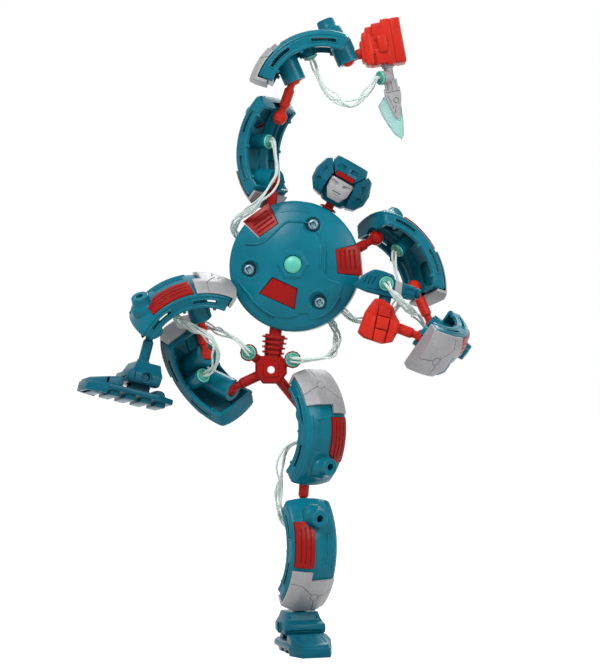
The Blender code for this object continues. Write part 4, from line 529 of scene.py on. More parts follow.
def strand_bundle(name, start, stop, route, parts):
    """One bundle from plug to plug. Each part runs to a share of the length, between two bodies."""
    lead, tail = ((seat - way * (PLUG_HEAD * MM) * 0.5, seat - way * ((PLUG_HEAD + 2.5) * MM))
                  for seat, way, _ in (seats[start], seats[stop]))
    run, long = run_of([*lead, *(Vector(p) * MM for p in route), *tail[::-1]], STRAND_STEP)
    ways = carried_ways(run)
    last = len(run) - 1
    pieces = []
    low = 0.0
    for number, (high, near, far) in enumerate(parts, 1):
        first, final = round(low * last), round(high * last)
        shape = bmesh.new()
        for k in range(STRANDS):
            spots = one_strand(run, ways, k, first, final)
            add_tube(shape, spots, [STRAND_THICK] * len(spots))
        title = "strands_%s_clear" % name + ("_%d" % number if len(parts) > 1 else "")
        piece = finished(solid_of(shape), title, CLEAR)
        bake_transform(piece)
        pieces.append((piece, run[first:final + 1], long * (final - first) / last))
        low = high
    if "strands_" + name in frame["nodes"]:
        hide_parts("strands_" + name)
    short = [piece for piece, _, far in pieces if far < SHORTEST_CORD]
    for piece, path, far in pieces:
        if far < SHORTEST_CORD:
            continue
        path = path[::2] if len(path) % 2 else path[::2] + [path[-1]]
        short = []


# Each bundle: the plugs that come with it, its two ends, the points it passes, and its parts.
BUNDLES = {
    "right_forearm": (("forearm_right", "dagger"), "forearm_right", "dagger",
                      ((9, -12, 312), (18, -14, 303), (27, -13, 300), (35, -11, 307)),
                      ((0.6, "forearm_right", "hand_right"), (1.0, "hand_right", "dagger"))),
    "right_arm": (("upper_arm_right", "back_right"), "upper_arm_right", "back_right",
                  ((-13, -4, 264), (-18, -9, 254), (-26, -9, 245), (-35, 0, 239), (-38, 11, 233),
                   (-33, 16, 226)),
                  ((1.0, "upper_arm_right", "torso"),)),
    "left_arm": (("upper_arm_left", "back_left"), "upper_arm_left", "back_left",
                 ((52, -7, 208), (53, -4, 195), (46, 6, 186), (30, 14, 183)),
                 ((1.0, "upper_arm_left", "torso"),)),
    "left_forearm": (("forearm_left", "blaster"), "forearm_left", "blaster",
                     ((66, -11, 178), (61, -17, 185), (57, -29, 188), (52, -36, 192), (48, -37, 197)),
                     ((0.58, "forearm_left", "hand_left"), (1.0, "hand_left", "blaster"))),
    "waist": (("hip_frame_left", "back_low"), "hip_frame_left", "back_low",
              ((3, -10, 160), (15, -6, 163), (19, 6, 174), (14, 15, 184)), ((1.0, "pelvis", "torso"),)),
    "raised_leg": (("hip_frame_right", "shin_right", "thigh_right"), "hip_frame_right", "shin_right",
                   ((-36, -9, 170), (-45, -4, 176), (-51, 2, 179), (-57, 3, 180), (-63, 0, 179.5),
                    (-68, -5, 180)),
                   ((0.56, "pelvis", "thigh_right"), (0.78, "thigh_right", "knee_link_right"),
                    (1.0, "knee_link_right", "shin_right"))),
    "raised_thigh": ((), "thigh_right", "shin_right",
                     ((-49, -11, 157), (-47.5, -14.5, 166), (-52, -15, 174), (-60, -13.5, 178)),
                     ((0.56, "thigh_right", "knee_link_right"), (1.0, "knee_link_right", "shin_right"))),
    "standing_leg": (("thigh_left", "shin_left"), "thigh_left", "shin_left",
                     ((-10, 2, 112), (-13, 4, 92), (-12, 6, 74)),
                     ((0.5, "thigh_left", "knee_link_left"), (1.0, "knee_link_left", "shin_left"))),
}
for name, (plugs, *bundle) in BUNDLES.items():
    for plug in plugs:
        plug_piece(plug)
    strand_bundle(name, *bundle)

# ---- Moulded and painted finishes ----------------------------------------------------------------------
# Teal and red pieces are injection-moulded plastic with a satin gloss, paler along their edges, partly from
# rubbed wear and partly as a painted highlight. Caps, mask and hilt are the same plastic sprayed silver, the
# blade is cast clear, screws are steel.


def moulded(name, dark, light, pale, rough, specular):
    """Satin moulded plastic: soft flow clouds in its colour, fine grain, light rubs, and paler edges that are
    partly rubbed wear and partly a painted highlight.
    """
    material, shader, place = recipe(name)
    eased, edge = soft_edge(place, 0.00045)
    patch = place.noise(170.0, 4.0)
    rub = (place * (1.0, 1.0, 0.16)).noise(760.0, 3.0, 0.7)
    worn = ((rub - 0.60) * 9.0).held()
    cloud = place.noise(38.0, 5.0, 0.6) * 0.7 + patch * 0.3
    # Paler towards every edge by the edge mask: partly rubbed wear, partly a painted highlight along the edges.
    feed(place, shader,
         Base_Color=cloud.tinted(dark, light, 0.34, 0.66).toward(
             pale, (edge * (0.20 + patch * 0.35)).held() + worn * 0.05),
         Roughness=(rough + (patch - 0.5) * 0.16 + worn * 0.10).held(0.08, 0.9),
         Normal=(place.noise(3200.0, 2.0) * 0.6 + rub * 0.4).bumped(0.16, 0.00012, Normal=eased),
         Specular_IOR_Level=specular)
    return material


def sprayed_silver():
    """Silver paint over plastic: fine flakes, a soft sheen and grey wear along the edges."""
    material, shader, place = recipe("sprayed_silver")
    eased, edge = soft_edge(place, 0.0004)
    cloud = place.noise(60.0, 4.0)
    flake = place.node("ShaderNodeTexVoronoi", None, {"Vector": place, "Scale": 5200.0}, "Color")
    glint = place.node("ShaderNodeSeparateColor", None, {"Color": flake}, 0)
    scuff = (place * (1.0, 0.2, 1.0)).noise(620.0, 4.0, 0.7)
    worn = ((scuff - 0.62) * 8.0).held()
    speckled = cloud.tinted((0.250, 0.250, 0.262), (0.345, 0.343, 0.352)).toward(
        (0.58, 0.58, 0.59), (glint > 0.80) * 0.30)
    feed(place, shader, Base_Color=speckled.toward((0.52, 0.52, 0.53), edge * (0.15 + cloud * 0.4)),
         Roughness=(0.42 + glint * 0.08 + worn * 0.12).held(0.2, 0.8), Metallic=(0.26 - worn * 0.12).held(),
         Normal=(glint * 0.5 + scuff).bumped(0.12, 0.0001, Normal=eased), Specular_IOR_Level=0.32)
    return material


def clear_mint():
    """Mint plastic cast clear, in soft clouds of two tones, and deeper along its edges."""
    material, shader, place = recipe("clear_mint")
    eased, edge = soft_edge(place, 0.0006)
    cloud = place.noise(140.0, 4.0)
    feed(place, shader, Roughness=0.10 + cloud * 0.12, Normal=cloud.bumped(0.15, 0.0002, Normal=eased),
         Base_Color=cloud.tinted((0.37, 0.66, 0.63), (0.48, 0.74, 0.72)).toward((0.20, 0.56, 0.50), edge * 0.8),
         IOR=1.46, Transmission_Weight=0.5)
    return material


def turned_steel():
    """Bright steel with the rings that turning leaves."""
    material, shader, place = recipe("turned_steel")
    eased, edge = soft_edge(place, 0.0003)
    ring = place.noise(2400.0, 3.0)
    # A bluish teal tone in soft clouds over the steel, paler towards its edges.
    teal_tone = place.noise(300.0, 4.0).tinted((0.13, 0.25, 0.30), (0.24, 0.38, 0.43))
    feed(place, shader, Base_Color=teal_tone.toward((0.55, 0.66, 0.70), edge * 0.4), Roughness=0.34 + ring * 0.2,
         Metallic=0.55, Normal=ring.bumped(0.25, 0.0001, Normal=eased))
    return material


TEAL = moulded("teal_moulding", (0.0014, 0.118, 0.172), (0.0026, 0.158, 0.224), (0.025, 0.32, 0.42), 0.24, 0.13)
DEEP_TEAL = moulded("deep_teal_moulding", (0.0010, 0.078, 0.124), (0.0016, 0.112, 0.168), (0.008, 0.18, 0.25),
                    0.30, 0.11)
RED = moulded("red_moulding", (0.235, 0.0036, 0.0030), (0.315, 0.0062, 0.0046), (0.55, 0.04, 0.030), 0.30, 0.13)
BRIGHT_RED = moulded("bright_red_moulding", (0.465, 0.016, 0.008), (0.575, 0.024, 0.012), (0.68, 0.06, 0.035),
                     0.34, 0.15)
SILVER = sprayed_silver()
STEEL = turned_steel()
FINISHES = {
    "teal_plastic": TEAL, "deep_teal_plastic": DEEP_TEAL, "red_plastic": RED, "silver_paint": SILVER,
    "mint_rubber": MINT, "mint_clear_plastic": clear_mint(), "clear_rubber": CLEAR, "steel": STEEL,
}

# ---- Limb shells, caps and panels ----------------------------------------------------------------------
# Each limb is one moulded shell, open on its inner side, with ball sockets, long slots, snap pegs, a post
# and a boss for a plug. A sprayed cap is glued over one end and a ribbed red panel is pressed in its crown.
CROWN_R = 39.0
HALF_WIDTH = 13.5
RIM_R = 28.6
WALL = 2.0
SIDE_WALL = 1.7
END_WALL = 3.2
SHOULDER_IN = 11.4
ROUND_OFF = 1.7
ARC_STEP = 2.6
SLOT_R = (31.6, 33.4)
SLOT_STARTS = (-37.0, 10.0)
SLOT_ARC = 24.0
BALL_R = 4.2
NECK_R = 2.1
ROD_R = 2.9
CUP_R = 6.2
CUP_LIP = 2.2
BOSS_R = 4.3
BOSS_DEEP = 7.0
POST_R = 5.4
POST_TOP = 40.6
POST_ARC = 30.0
PANEL_ARC = (-26.0, 12.0)
PANEL_WIDTH = (1.6, 12.2)
PANEL_SUNK = 0.8
CAP_THICK = 2.2
CAP_ARC = 15.0
CAP_END_R = 31.5
CAP_RING_R = 2.3
# The lines cut in a cap's face: where each starts and stops, from the middle of its ring.
CAP_LINES = (((-0.9, 2.1), (-6.0, 16.0)), ((-1.4, -1.8), (-7.5, -9.0)), ((-7.5, -9.0), (-6.5, -17.0)),
             ((2.3, 0.2), (12.0, 2.2)))
UP = Vector((0, 0, 1))


def shoulder_root(angle, side):
    root = Vector((cos(radians(angle)), sin(radians(angle)), 0))
    return torso_at @ (root * 31.0 * MM) - joint_at["shoulder_" + side]


# The way that a rod leaves each limb at its cap and at its tail.
ROD_WAYS = {
    "shin_left": ((0, 0, -1), (0.07, 0, 1)),
    "thigh_left": (HUB - joint_at["hip_left"], (-0.07, 0, -1)),
    "thigh_right": ((-0.11, -0.30, 0.95), HUB - joint_at["hip_right"]),
    "shin_right": ((0.11, 0.30, -0.95), (-0.25, 0, -0.97)),
    "upper_arm_right": (shoulder_root(126.0, "right"), (0.32, -0.33, 0.89)),
    "forearm_right": ((-0.32, 0.33, -0.89), (20.0, 0, 8.4)),
    "upper_arm_left": ((0.42, 0, -0.91), shoulder_root(5.0, "left")),
    "forearm_left": ((-22.6, 0, 8.6), (-0.42, 0, 0.91)),
}


def skinned(rings, place=None):
    """A solid skinned over rings of points."""
    shape = bmesh.new()
    add_skin(shape, rings)
    return solid_of(shape, place)


def swept(profile, start, end, step=ARC_STEP):
    """A closed (across, radius) section swept about Y, in degrees from +Z towards +X."""
    count = max(2, round((end - start) / step))
    turns = [radians(start + (end - start) * i / count) for i in range(count + 1)]
    return skinned([[(r * sin(turn), w, r * cos(turn)) for w, r in profile] for turn in turns])


def slab(outline, low, high, place=None):
    """A flat outline made thick from one height to another."""
    return skinned([[(x, y, z) for x, y in outline] for z in (low, high)], place)


def rod(start, end, radius, end_radius=None, sides=28):
    """A cylinder or cone between two points."""
    start, end = Vector(start) * MM, Vector(end) * MM
    turn = (end - start).to_track_quat("Z", "Y").to_matrix().to_4x4()
    shape = bmesh.new()
    bmesh.ops.create_cone(shape, cap_ends=True, segments=sides, radius1=radius * MM,
                          radius2=(radius if end_radius is None else end_radius) * MM,
                          depth=(end - start).length, matrix=Matrix.Translation((start + end) / 2) @ turn)
    return solid_of(shape)


def round_ball(centre, radius, rows):
    shape = bmesh.new()
    bmesh.ops.create_uvsphere(shape, u_segments=28, v_segments=rows, radius=radius * MM, matrix=at(*centre))
    return solid_of(shape)


def ease_edges(shape, offset, segments=2):
    bmesh.ops.bevel(shape, geom=list(shape.edges), offset=offset * MM, segments=segments, affect="EDGES",
                    profile=0.5, clamp_overlap=True)


def block(size, place, rounding=0.0):
    """A block of some size, with its edges rounded if it has a rounding."""
    shape = bmesh.new()
    bmesh.ops.create_cube(shape, size=1.0, matrix=Matrix.Diagonal((*(side * MM for side in size), 1.0)))
    if rounding:
        ease_edges(shape, rounding)
    return solid_of(shape, place)


def cleared(*tools):
    """Takes used tools off the bench."""
    for tool in tools:
        mesh = tool.data
        bpy.data.objects.remove(tool)
        bpy.data.meshes.remove(mesh)


def worked(body, *steps):
    """Joins, cuts or trims a body by each (operation, tool) in turn, and bakes the result."""
    for operation, tool in steps:
        step = body.modifiers.new(operation.lower(), "BOOLEAN")
        step.operation, step.solver, step.object = operation, "EXACT", tool
    mesh = bpy.data.meshes.new_from_object(body.evaluated_get(bpy.context.evaluated_depsgraph_get()))
    body.modifiers.clear()
    old, body.data = body.data, mesh
    bpy.data.meshes.remove(old)
    cleared(*(tool for _, tool in steps))
    return body


def joined(*tools):
    return [("UNION", tool) for tool in tools]


def cut_by(*tools):
    return [("DIFFERENCE", tool) for tool in tools]


def kept_in(tool):
    return [("INTERSECT", tool)]


def with_extras(body, extras):
    """Moulds small details on to a body by putting their meshes in its own."""
    shape = bmesh.new()
    for part in (body, *extras):
        shape.from_mesh(part.data)
    shape.to_mesh(body.data)
    shape.free()
    cleared(*extras)
    return body


def mirrored(right):
    """A closed outline from its right half."""
    return [(-x, y) for x, y in right] + right[::-1]


def on_arc(radius, w):
    """A point of a section that lies on a round crown."""
    return w, sqrt(radius * radius - w * w)


def crown(radius, half, count):
    return [on_arc(radius, half * (2 * i / (count - 1) - 1)) for i in range(count)]


def eased(a, b, c, count=5):
    """Points of a rounded corner from a to c, with its sharp corner at b."""
    shares = [i / (count - 1) for i in range(count)]
    return [tuple((1 - t) ** 2 * p + 2 * t * (1 - t) * q + t * t * r for p, q, r in zip(a, b, c))
            for t in shares]


def shell_blank(half_arc):
    """The outside of a shell: a lip on its rim, a seam line and a rounded shoulder, drawn in a little at both
    ends so that its corners are round."""
    lip, seam = HALF_WIDTH + 0.45, HALF_WIDTH - 0.35
    side = [(HALF_WIDTH, RIM_R), (lip, RIM_R + 0.3), (lip, RIM_R + 1.4), (HALF_WIDTH, RIM_R + 1.9),
            (HALF_WIDTH, 34.5), (seam, 34.7), (seam, 35.1)]
    side += eased((HALF_WIDTH, 35.3), on_arc(CROWN_R, HALF_WIDTH), on_arc(CROWN_R, SHOULDER_IN))
    profile = [(-w, r) for w, r in side] + crown(CROWN_R, SHOULDER_IN, 7)[1:-1] + side[::-1]
    turns = [half_arc - degrees(ROUND_OFF / CROWN_R) * t for t in (0.0, 0.10, 0.35, 1.0)]
    middle = [turns[-1] * (i / 9 - 1) for i in range(1, 18)]
    rings = []
    for turn in [-t for t in turns] + middle + turns[::-1]:
        near = max(0.0, 1.0 - (half_arc - abs(turn)) * radians(CROWN_R) / ROUND_OFF)
        drawn = ROUND_OFF * (1 - sqrt(1 - near * near))
        ring = [(w * (1 - drawn / HALF_WIDTH), r - drawn * (r - RIM_R) / (CROWN_R - RIM_R)) for w, r in profile]
        rings.append([(r * sin(radians(turn)), w, r * cos(radians(turn))) for w, r in ring])
    return skinned(rings)


def shell_pocket(half_arc):
    half, inner, low = HALF_WIDTH - SIDE_WALL, CROWN_R - WALL, RIM_R - 3
    corner = eased((half, 34.2), on_arc(inner, half), on_arc(inner, half - 2), 4)
    profile = ([(-half, low)] + [(-w, r) for w, r in corner] + crown(inner, half - 2, 5)[1:-1] + corner[::-1]
               + [(half, low)])
    return swept(profile, END_WALL - half_arc, half_arc - END_WALL)


def inside_crown():
    return rod((0, -20, 0), (0, 20, 0), CROWN_R - WALL / 2, sides=96)


def ball_spot(key, end):
    along, outward = LIMBS[key][2][end]
    return Vector((along, 0, outward))


def rod_way(key, end):
    """The way that a rod leaves a socket, in the limb's own frame."""
    return limb_at[key].to_3x3().inverted() @ Vector(ROD_WAYS[key][end]).normalized()


def socket_steps(key, end):
    """A post with a cup for a ball, slotted on the side that the rod leans to."""
    centre, way = ball_spot(key, end), rod_way(key, end)
    tilt = radians(45.0) if (key, end) == ("thigh_right", 1) else 0.0
    mouth = Vector((-sin(tilt), 0, -cos(tilt)))
    post = worked(rod(centre - mouth * 28, centre + mouth * CUP_LIP, CUP_R), *kept_in(inside_crown()))
    side = way - way.dot(mouth) * mouth
    if side.length < 0.3:
        side = Vector((-1.0 if end else 1.0, 0, 0))
        side = side - side.dot(mouth) * mouth
    side.normalize()
    low = -3.6 if degrees(acos(max(-1.0, min(1.0, mouth.dot(way))))) > 62 else -0.6
    if (key, end) == ("thigh_right", 0):
        low = -2.2
    high, long, width = CUP_LIP + 2, CUP_R + 2, 2 * (NECK_R + 0.6)
    middle = centre + side * (long / 2) + mouth * ((low + high) / 2)
    slot = block((long, width, high - low), at(*middle) @ turn_of(side, mouth.cross(side), mouth))
    return joined(post) + cut_by(round_ball(centre, BALL_R + GAP, 16), slot)


def end_notch(key, end):
    start, clear = ball_spot(key, end) + rod_way(key, end) * (BALL_R + 1), ROD_R + 1.3
    return rod(start, start + rod_way(key, end) * 30, clear, clear * 1.5, sides=24)


def panel_blank(margin, sunk, proud):
    """The panel's body, or with a margin the bed that it lies in."""
    low, high = -PANEL_WIDTH[1] - margin, -PANEL_WIDTH[0] + margin
    turn = degrees(margin / CROWN_R)
    base, top = CROWN_R - sunk, CROWN_R + proud
    across = [low + (high - low) * i / 6 for i in range(7)]
    profile = [on_arc(base, low)] + [on_arc(top, w) for w in across] + [on_arc(base, w) for w in across[:0:-1]]
    post = CROWN_R * sin(radians(-POST_ARC))
    corner = at(-13.0 - margin * 0.7, 0, 40) @ spun(38, "Z") @ at(-6, 8, 0)
    return worked(swept(profile, PANEL_ARC[0] - turn, PANEL_ARC[1] + turn),
                  *cut_by(rod((post, 0, 20), (post, 0, 60), POST_R + 1.4 - margin),
                          block((12, 20, 30), corner)))


def slot_surround(start, side):
    """The raised edge round a long slot."""
    face, proud, band = side * HALF_WIDTH, side * 0.4, 0.75
    reach = degrees(band / SLOT_R[0])
    ring = [(face - proud, SLOT_R[0] - band), (face + proud, SLOT_R[0] - band * 0.6),
            (face + proud, SLOT_R[1] + band * 0.6), (face - proud, SLOT_R[1] + band)]
    return swept(ring, start - reach, start + SLOT_ARC + reach)


def crown_rail(half_arc):
    """A raised band along the crown's edge, beside the panel's side."""
    spots = ((9.7, -0.6), (10.0, 0.35), (10.5, 0.6), (11.7, 0.55), (12.3, 0.1), (12.6, -0.9))
    return swept([(w, on_arc(CROWN_R, w)[1] + up) for w, up in spots], 3.4 - half_arc, CAP_ARC - 1.2)


def crown_recess(low, high, deep):
    """A long shallow recess in the crown, between its post and its cap."""
    across = [low + (high - low) * i / 4 for i in range(5)]
    bed = [(w, on_arc(CROWN_R, w)[1] - deep) for w in across]
    return swept(bed + [(w, r + 4) for w, r in bed[::-1]], deep - 17.0, 11.0 - deep)


def moulded_shell(key):
    """One limb shell with its sockets, slots, pegs, plug boss and post."""
    half_arc, half, boss = LIMBS[key][5], HALF_WIDTH + 1, Vector(boss_spot(key))
    post = -sin(radians(POST_ARC)) * (CROWN_R - WALL / 2)
    steps = cut_by(shell_pocket(half_arc))
    steps += joined(*(slot_surround(start, side) for start in SLOT_STARTS for side in (-1, 1)
                      if (key, start > 0, side) != ("thigh_right", True, -1)))
    slot = [(-half, SLOT_R[0]), (-half, SLOT_R[1]), (half, SLOT_R[1]), (half, SLOT_R[0])]
    steps += cut_by(*(swept(slot, start, start + SLOT_ARC) for start in SLOT_STARTS))
    steps += joined(rod(boss, (boss.x, boss.y, on_arc(CROWN_R - WALL / 2, boss.x)[1]), BOSS_R))
    collar = [(0, -6), (POST_R + 1.7, -6), (POST_R + 1.5, 0.2), (POST_R + 0.9, 1.2), (POST_R + 0.2, 1.9),
              (POST_R * 0.96, 2.8), (POST_R * 0.88, 6.4), (POST_R * 0.80, 6.8), (0, 6.8)]
    steps += joined(worked(turned(collar, at(post, 0, POST_TOP - 6.8)), *cut_by(inside_crown())))
    steps += cut_by(rod((post, 0, POST_TOP - 7), (post, 0, POST_TOP + 1), 2.0))
    steps += joined(crown_rail(half_arc)) + cut_by(crown_recess(2.9, 8.3, 0.45), crown_recess(4.4, 6.8, 0.95))
    steps += cut_by(panel_blank(GAP, PANEL_SUNK + GAP, 3), end_notch(key, 0), end_notch(key, 1))
    steps += socket_steps(key, 0) + socket_steps(key, 1)
    steps += cut_by(rod(boss - UP * BOSS_DEEP, boss + UP * BOSS_DEEP, PLUG_STEM_R + GAP))
    return with_extras(worked(shell_blank(half_arc), *steps), shell_extras(half_arc))


def shell_extras(half_arc):
    """Snap pegs on the rims, stiffening ribs inside, and the flutes along the inner walls."""
    made = []
    for side in (-1, 1):
        for share in (-0.74, 0.74, 0.0):
            turn = radians(half_arc * share)
            way = Vector((sin(turn), 0, cos(turn)))
            across = Vector((0, side * (HALF_WIDTH - SIDE_WALL / 2), 0))
            made.append(rod(across + way * (RIM_R + 1), across + way * (RIM_R - 1.2), 1.2, 0.9, 14))
        root, face = (side * (HALF_WIDTH - SIDE_WALL + deep) for deep in (0.3, -0.55))
        for i in range(-5, 6):
            turn = half_arc * 0.17 * i
            over_slot = min(abs(turn - start - SLOT_ARC / 2) for start in SLOT_STARTS) < SLOT_ARC / 2 + 1.5
            low = SLOT_R[1] + 0.7 if over_slot else RIM_R + 2.2
            flute = [(root, low), (face, low + 0.5), (face, 35.4), (root, 35.9)]
            made.append(swept(flute, turn - 0.8, turn + 0.8, 0.8))
    for across in (-5.6, 5.6):
        rib = [(across - 0.5, 37.4), (across - 0.4, 35.9), (across + 0.4, 35.9), (across + 0.5, 37.4)]
        made.append(swept(rib, 1.5 - half_arc + END_WALL, half_arc - END_WALL - 1.5))
    return made


def sprayed_cap(key):
    """The silver cap over one end, three-sided, with an end plate and engraved seams."""
    half, flat, top = HALF_WIDTH - 0.3, 6.5, CROWN_R + CAP_THICK
    side = on_arc(CROWN_R, half)[1] + CAP_THICK * 0.5
    profile = mirrored([(half, CAP_END_R)]
                       + eased((half, side - 0.7), (half, side), (half - 0.6, side + 0.3), 3)
                       + eased((flat + 1.0, top - 0.52), (flat, top), (flat - 1.0, top), 4))
    end = LIMBS[key][5] + 3.4
    hollow = ([(-half - 1, CAP_END_R - 1)] + crown(CROWN_R + GAP + 0.1, half + 1, 9)
              + [(half + 1, CAP_END_R - 1)])
    step = [(-2.5, 30), (-2.5, 50), (20, 50), (20, 30)]
    return worked(swept(profile, CAP_ARC, end),
                  *cut_by(swept(hollow, CAP_ARC - 6, LIMBS[key][5] + 0.6),
                          swept(step, CAP_ARC - 4, CAP_ARC + 7),
                          end_notch(key, 0), *cap_seams(profile, end)))


def cap_seams(profile, end):
    """A ring and three thin lines cut in a cap's face, like the edges of a hatch."""
    wide, high = 0.24, 8
    outer = [spot for spot in profile if spot[1] > CROWN_R - 3.5]
    skin = [(w, r - 0.45) for w, r in outer] + [(w, r + 2) for w, r in outer[::-1]]
    middle = (CAP_ARC + 6 + end) / 2
    way = Vector((sin(radians(middle)), 0, cos(radians(middle))))
    level = at(*(way * CROWN_R)) @ spun(middle, "Y") @ at(0, 2, 0)
    near, far = CAP_RING_R - wide, CAP_RING_R + wide
    tools = [turned([(near, -high), (far, -high), (far, high), (near, high), (near, -high)], level, 32)]
    for start, stop in CAP_LINES:
        start, stop = Vector(start), Vector(stop)
        side = (stop - start).orthogonal().normalized() * wide
        tools.append(slab([start - side, stop - side, stop + side, start + side], -high, high, level))
    return [worked(tool, *kept_in(swept(skin, CAP_ARC - 1, end + 1))) for tool in tools]


def ribbed_panel():
    """The red panel, with three long grooves and a rounded border."""
    low, high = PANEL_WIDTH
    steps = []
    for i in (1, 2, 3):
        spot, r = on_arc(CROWN_R + 0.8, -low - i * (high - low) / 4)
        groove = [(spot - 0.42, r - 0.55), (spot - 0.55, r + 1), (spot + 0.55, r + 1), (spot + 0.42, r - 0.55)]
        steps += cut_by(swept(groove, PANEL_ARC[0] + 3 + i * 1.2, PANEL_ARC[1] - 3.2))
    return worked(panel_blank(0.0, PANEL_SUNK, 0.8), *steps)


for key, place in limb_at.items():
    node = "%s_%%s_%s" % tuple(key.rsplit("_", 1))
    placed(moulded_shell(key), "moulded_%s_shell" % key, TEAL, place, key, "teal_plastic", node % "shell")
    placed(sprayed_cap(key), "sprayed_%s_cap" % key, SILVER, place, key, "silver_paint", node % "cap",
           smooth=24.0)
    placed(ribbed_panel(), "ribbed_%s_panel" % key, RED, place, key, "red_plastic", node % "panel")

# ---- Torso shells, lens and screws -----------------------------------------------------------------------
# Two turned shells are screwed together through three deep seats. The front carries a raised shield with a
# soft outline, a collar for the pressed-in lens, a window for the belly panel and beads along its rim.
DISC_WALL = 2.2
LENS_R = 4.9
LENS_RING_R = 8.3
SCREW_OUT = 24.7
SCREW_SEAT_R = 4.3
SHANK_R = 1.3
WINDOW_IN = 11.0
WINDOW_OUT = 21.6
WINDOW_HALF = (7.4, 10.6)
SHOULDERS = {"right": 126.0, "left": 5.0}
SHOULDER_IN_R = 23.5
WAIST_WAY = TORSO_TURN.inverted() @ Vector((0.115, 0, 0.993)).normalized()
TURNED_OVER = spun(180, "Y")
# The raised shield: straight over the shoulders, with round steps towards the rim below.
SHIELD = ((-30.5, 12.3), (-22.4, 11.6), (-18.2, 12.0), (-14.0, 14.6), (-9.6, 18.6), (-4.0, 23.6), (1.0, 24.0),
          (5.2, 23.7), (9.4, 22.4), (12.8, 18.5), (16.2, 13.4), (17.2, 8.0), (17.2, -2.6), (18.6, -7.4),
          (24.6, -9.4), (26.9, -11.4), (26.2, -14.0), (24.2, -18.6), (20.6, -23.6), (15.4, -27.6),
          (9.9, -29.8), (8.2, -27.4), (6.6, -26.2), (3.2, -26.6), (-0.5, -28.6), (-8.6, -28.3),
          (-15.6, -25.0), (-21.4, -20.2), (-24.6, -16.0), (-27.0, -13.2), (-31.2, -7.0), (-31.6, 2.0))
# Thin ridges follow these shares of the shield's outline.
RIDGES = ((0.015, 0.235), (0.265, 0.40), (0.50, 0.60), (0.735, 0.90))
# Beads near the rim: where each starts and ends, in degrees, and how far out it lies.
BEADS = ((196, 238, 33.2), (272, 322, 33.4), (156, 186, 34.0), (74, 104, 30.5))


def disc_spot(radius, angle, height=0.0):
    return Vector((radius * cos(radians(angle)), radius * sin(radians(angle)), height))


SCREW_SPOTS = [disc_spot(SCREW_OUT, angle) for angle in (65.0, 185.0, 305.0)]


def dome_profile(dome):
    """Points (radius, height) over a dome, from its middle to its rounded rim."""
    corner = dome_height(DISC_R, dome)
    return [(DISC_R * i / 18, dome_height(DISC_R * i / 18, dome)) for i in range(18)] + eased(
        (DISC_R - 1.0, dome_height(DISC_R - 1.0, dome)), (DISC_R, corner), (DISC_R, corner - 1.2), 4)


def dome_shell(dome):
    inner_r = DISC_R - DISC_WALL
    inner = [(inner_r * i / 12, dome_height(inner_r * i / 12, dome) - DISC_WALL) for i in range(12)]
    return turned(dome_profile(dome) + [(DISC_R, GAP / 2), (inner_r, GAP / 2), (inner_r, RIM - DISC_WALL * 0.6)]
                  + inner[::-1], sides=120)


def dome_solid(dome, low=0.0):
    return turned(dome_profile(dome) + [(DISC_R, low), (0, low)], sides=120)


def wedge(inner, outer, narrow, wide, low, high, angle):
    """A slab that widens outwards, at an angle on the disc."""
    return slab([(inner, -narrow), (outer, -wide), (outer, wide), (inner, narrow)], low, high, spun(angle, "Z"))


def edge_cutters(turn=Matrix.Identity(4)):
    """What the torso's edge opens for: two shoulders, the neck and the waist."""
    inner, outer, narrow = SHOULDER_IN_R, DISC_R + 0.6 + GAP * 8, 6.4 + GAP
    wide = narrow + 2.2 / (DISC_R - SHOULDER_IN_R) * (outer - inner)
    made = [wedge(inner, outer, narrow, wide, -30, 30, angle) for angle in SHOULDERS.values()]
    made.append(rod(disc_spot(DISC_R - 7, 60.6), disc_spot(DISC_R + 5, 60.6), 3.4 + GAP))
    rim = disc_spot(DISC_R, 253.0)
    for near, far, radius in ((8, -5, 3.5), (7.6, 4, 4.4)):
        made.append(rod(rim + WAIST_WAY * near, rim + WAIST_WAY * far, radius + 1.3 * GAP))
    for side, angle in SHOULDERS.items():
        arm = torso_at.inverted() @ joint_at["shoulder_" + side] / MM
        made.append(rod(disc_spot(31.0, angle), arm, ROD_R + 2.2 * GAP))
    for tool in made:
        tool.data.transform(turn)
    return made


def window(margin, low, high):
    return wedge(WINDOW_IN - margin, WINDOW_OUT + margin, WINDOW_HALF[0] + margin, WINDOW_HALF[1] + margin,
                 low, high, 245.6)


def raised(outline, proud, dome=DOME):
    """What stands over the dome inside an outline, following its curve."""
    return worked(slab(outline, 0.0, 30), *kept_in(dome_solid(dome + proud)),
                  *cut_by(dome_solid(dome - 0.8, -1)))


def shield_outline():
    spots = [Vector((x, y, 0)) for x, y in SHIELD]
    run, _ = run_of(spots + spots[:1], 1.1)
    return [(p.x, p.y) for p in run[:-1]]


def shield_ridges():
    """Thin round ridges along parts of the shield's edge, and one beside its right edge."""
    outline = shield_outline()
    count = len(outline)
    lines = [(outline[round(count * start):round(count * stop)], 0.80) for start, stop in RIDGES]
    lines.append(([(14.9, 11.0 - 1.1 * i) for i in range(13)], 0.9))
    tubes = []
    for line, proud in lines:
        run = [Vector((x, y, dome_height(hypot(x, y)) + proud)) * MM for x, y in line]
        shape = bmesh.new()
        add_tube(shape, run, [0.12 * MM] + [0.62 * MM] * (len(run) - 2) + [0.12 * MM], 10)
        tubes.append(solid_of(shape))
    return tubes


def rim_bead(start, end, radius):
    """A thin raised bead that follows the rim between two angles."""
    count = max(4, round((end - start) / 4))
    out, back = ([disc_spot(radius + half, start + (end - start) * i / count)[:2] for i in range(count + 1)]
                 for half in (0.55, -0.55))
    return raised(out + back[::-1], 0.55)


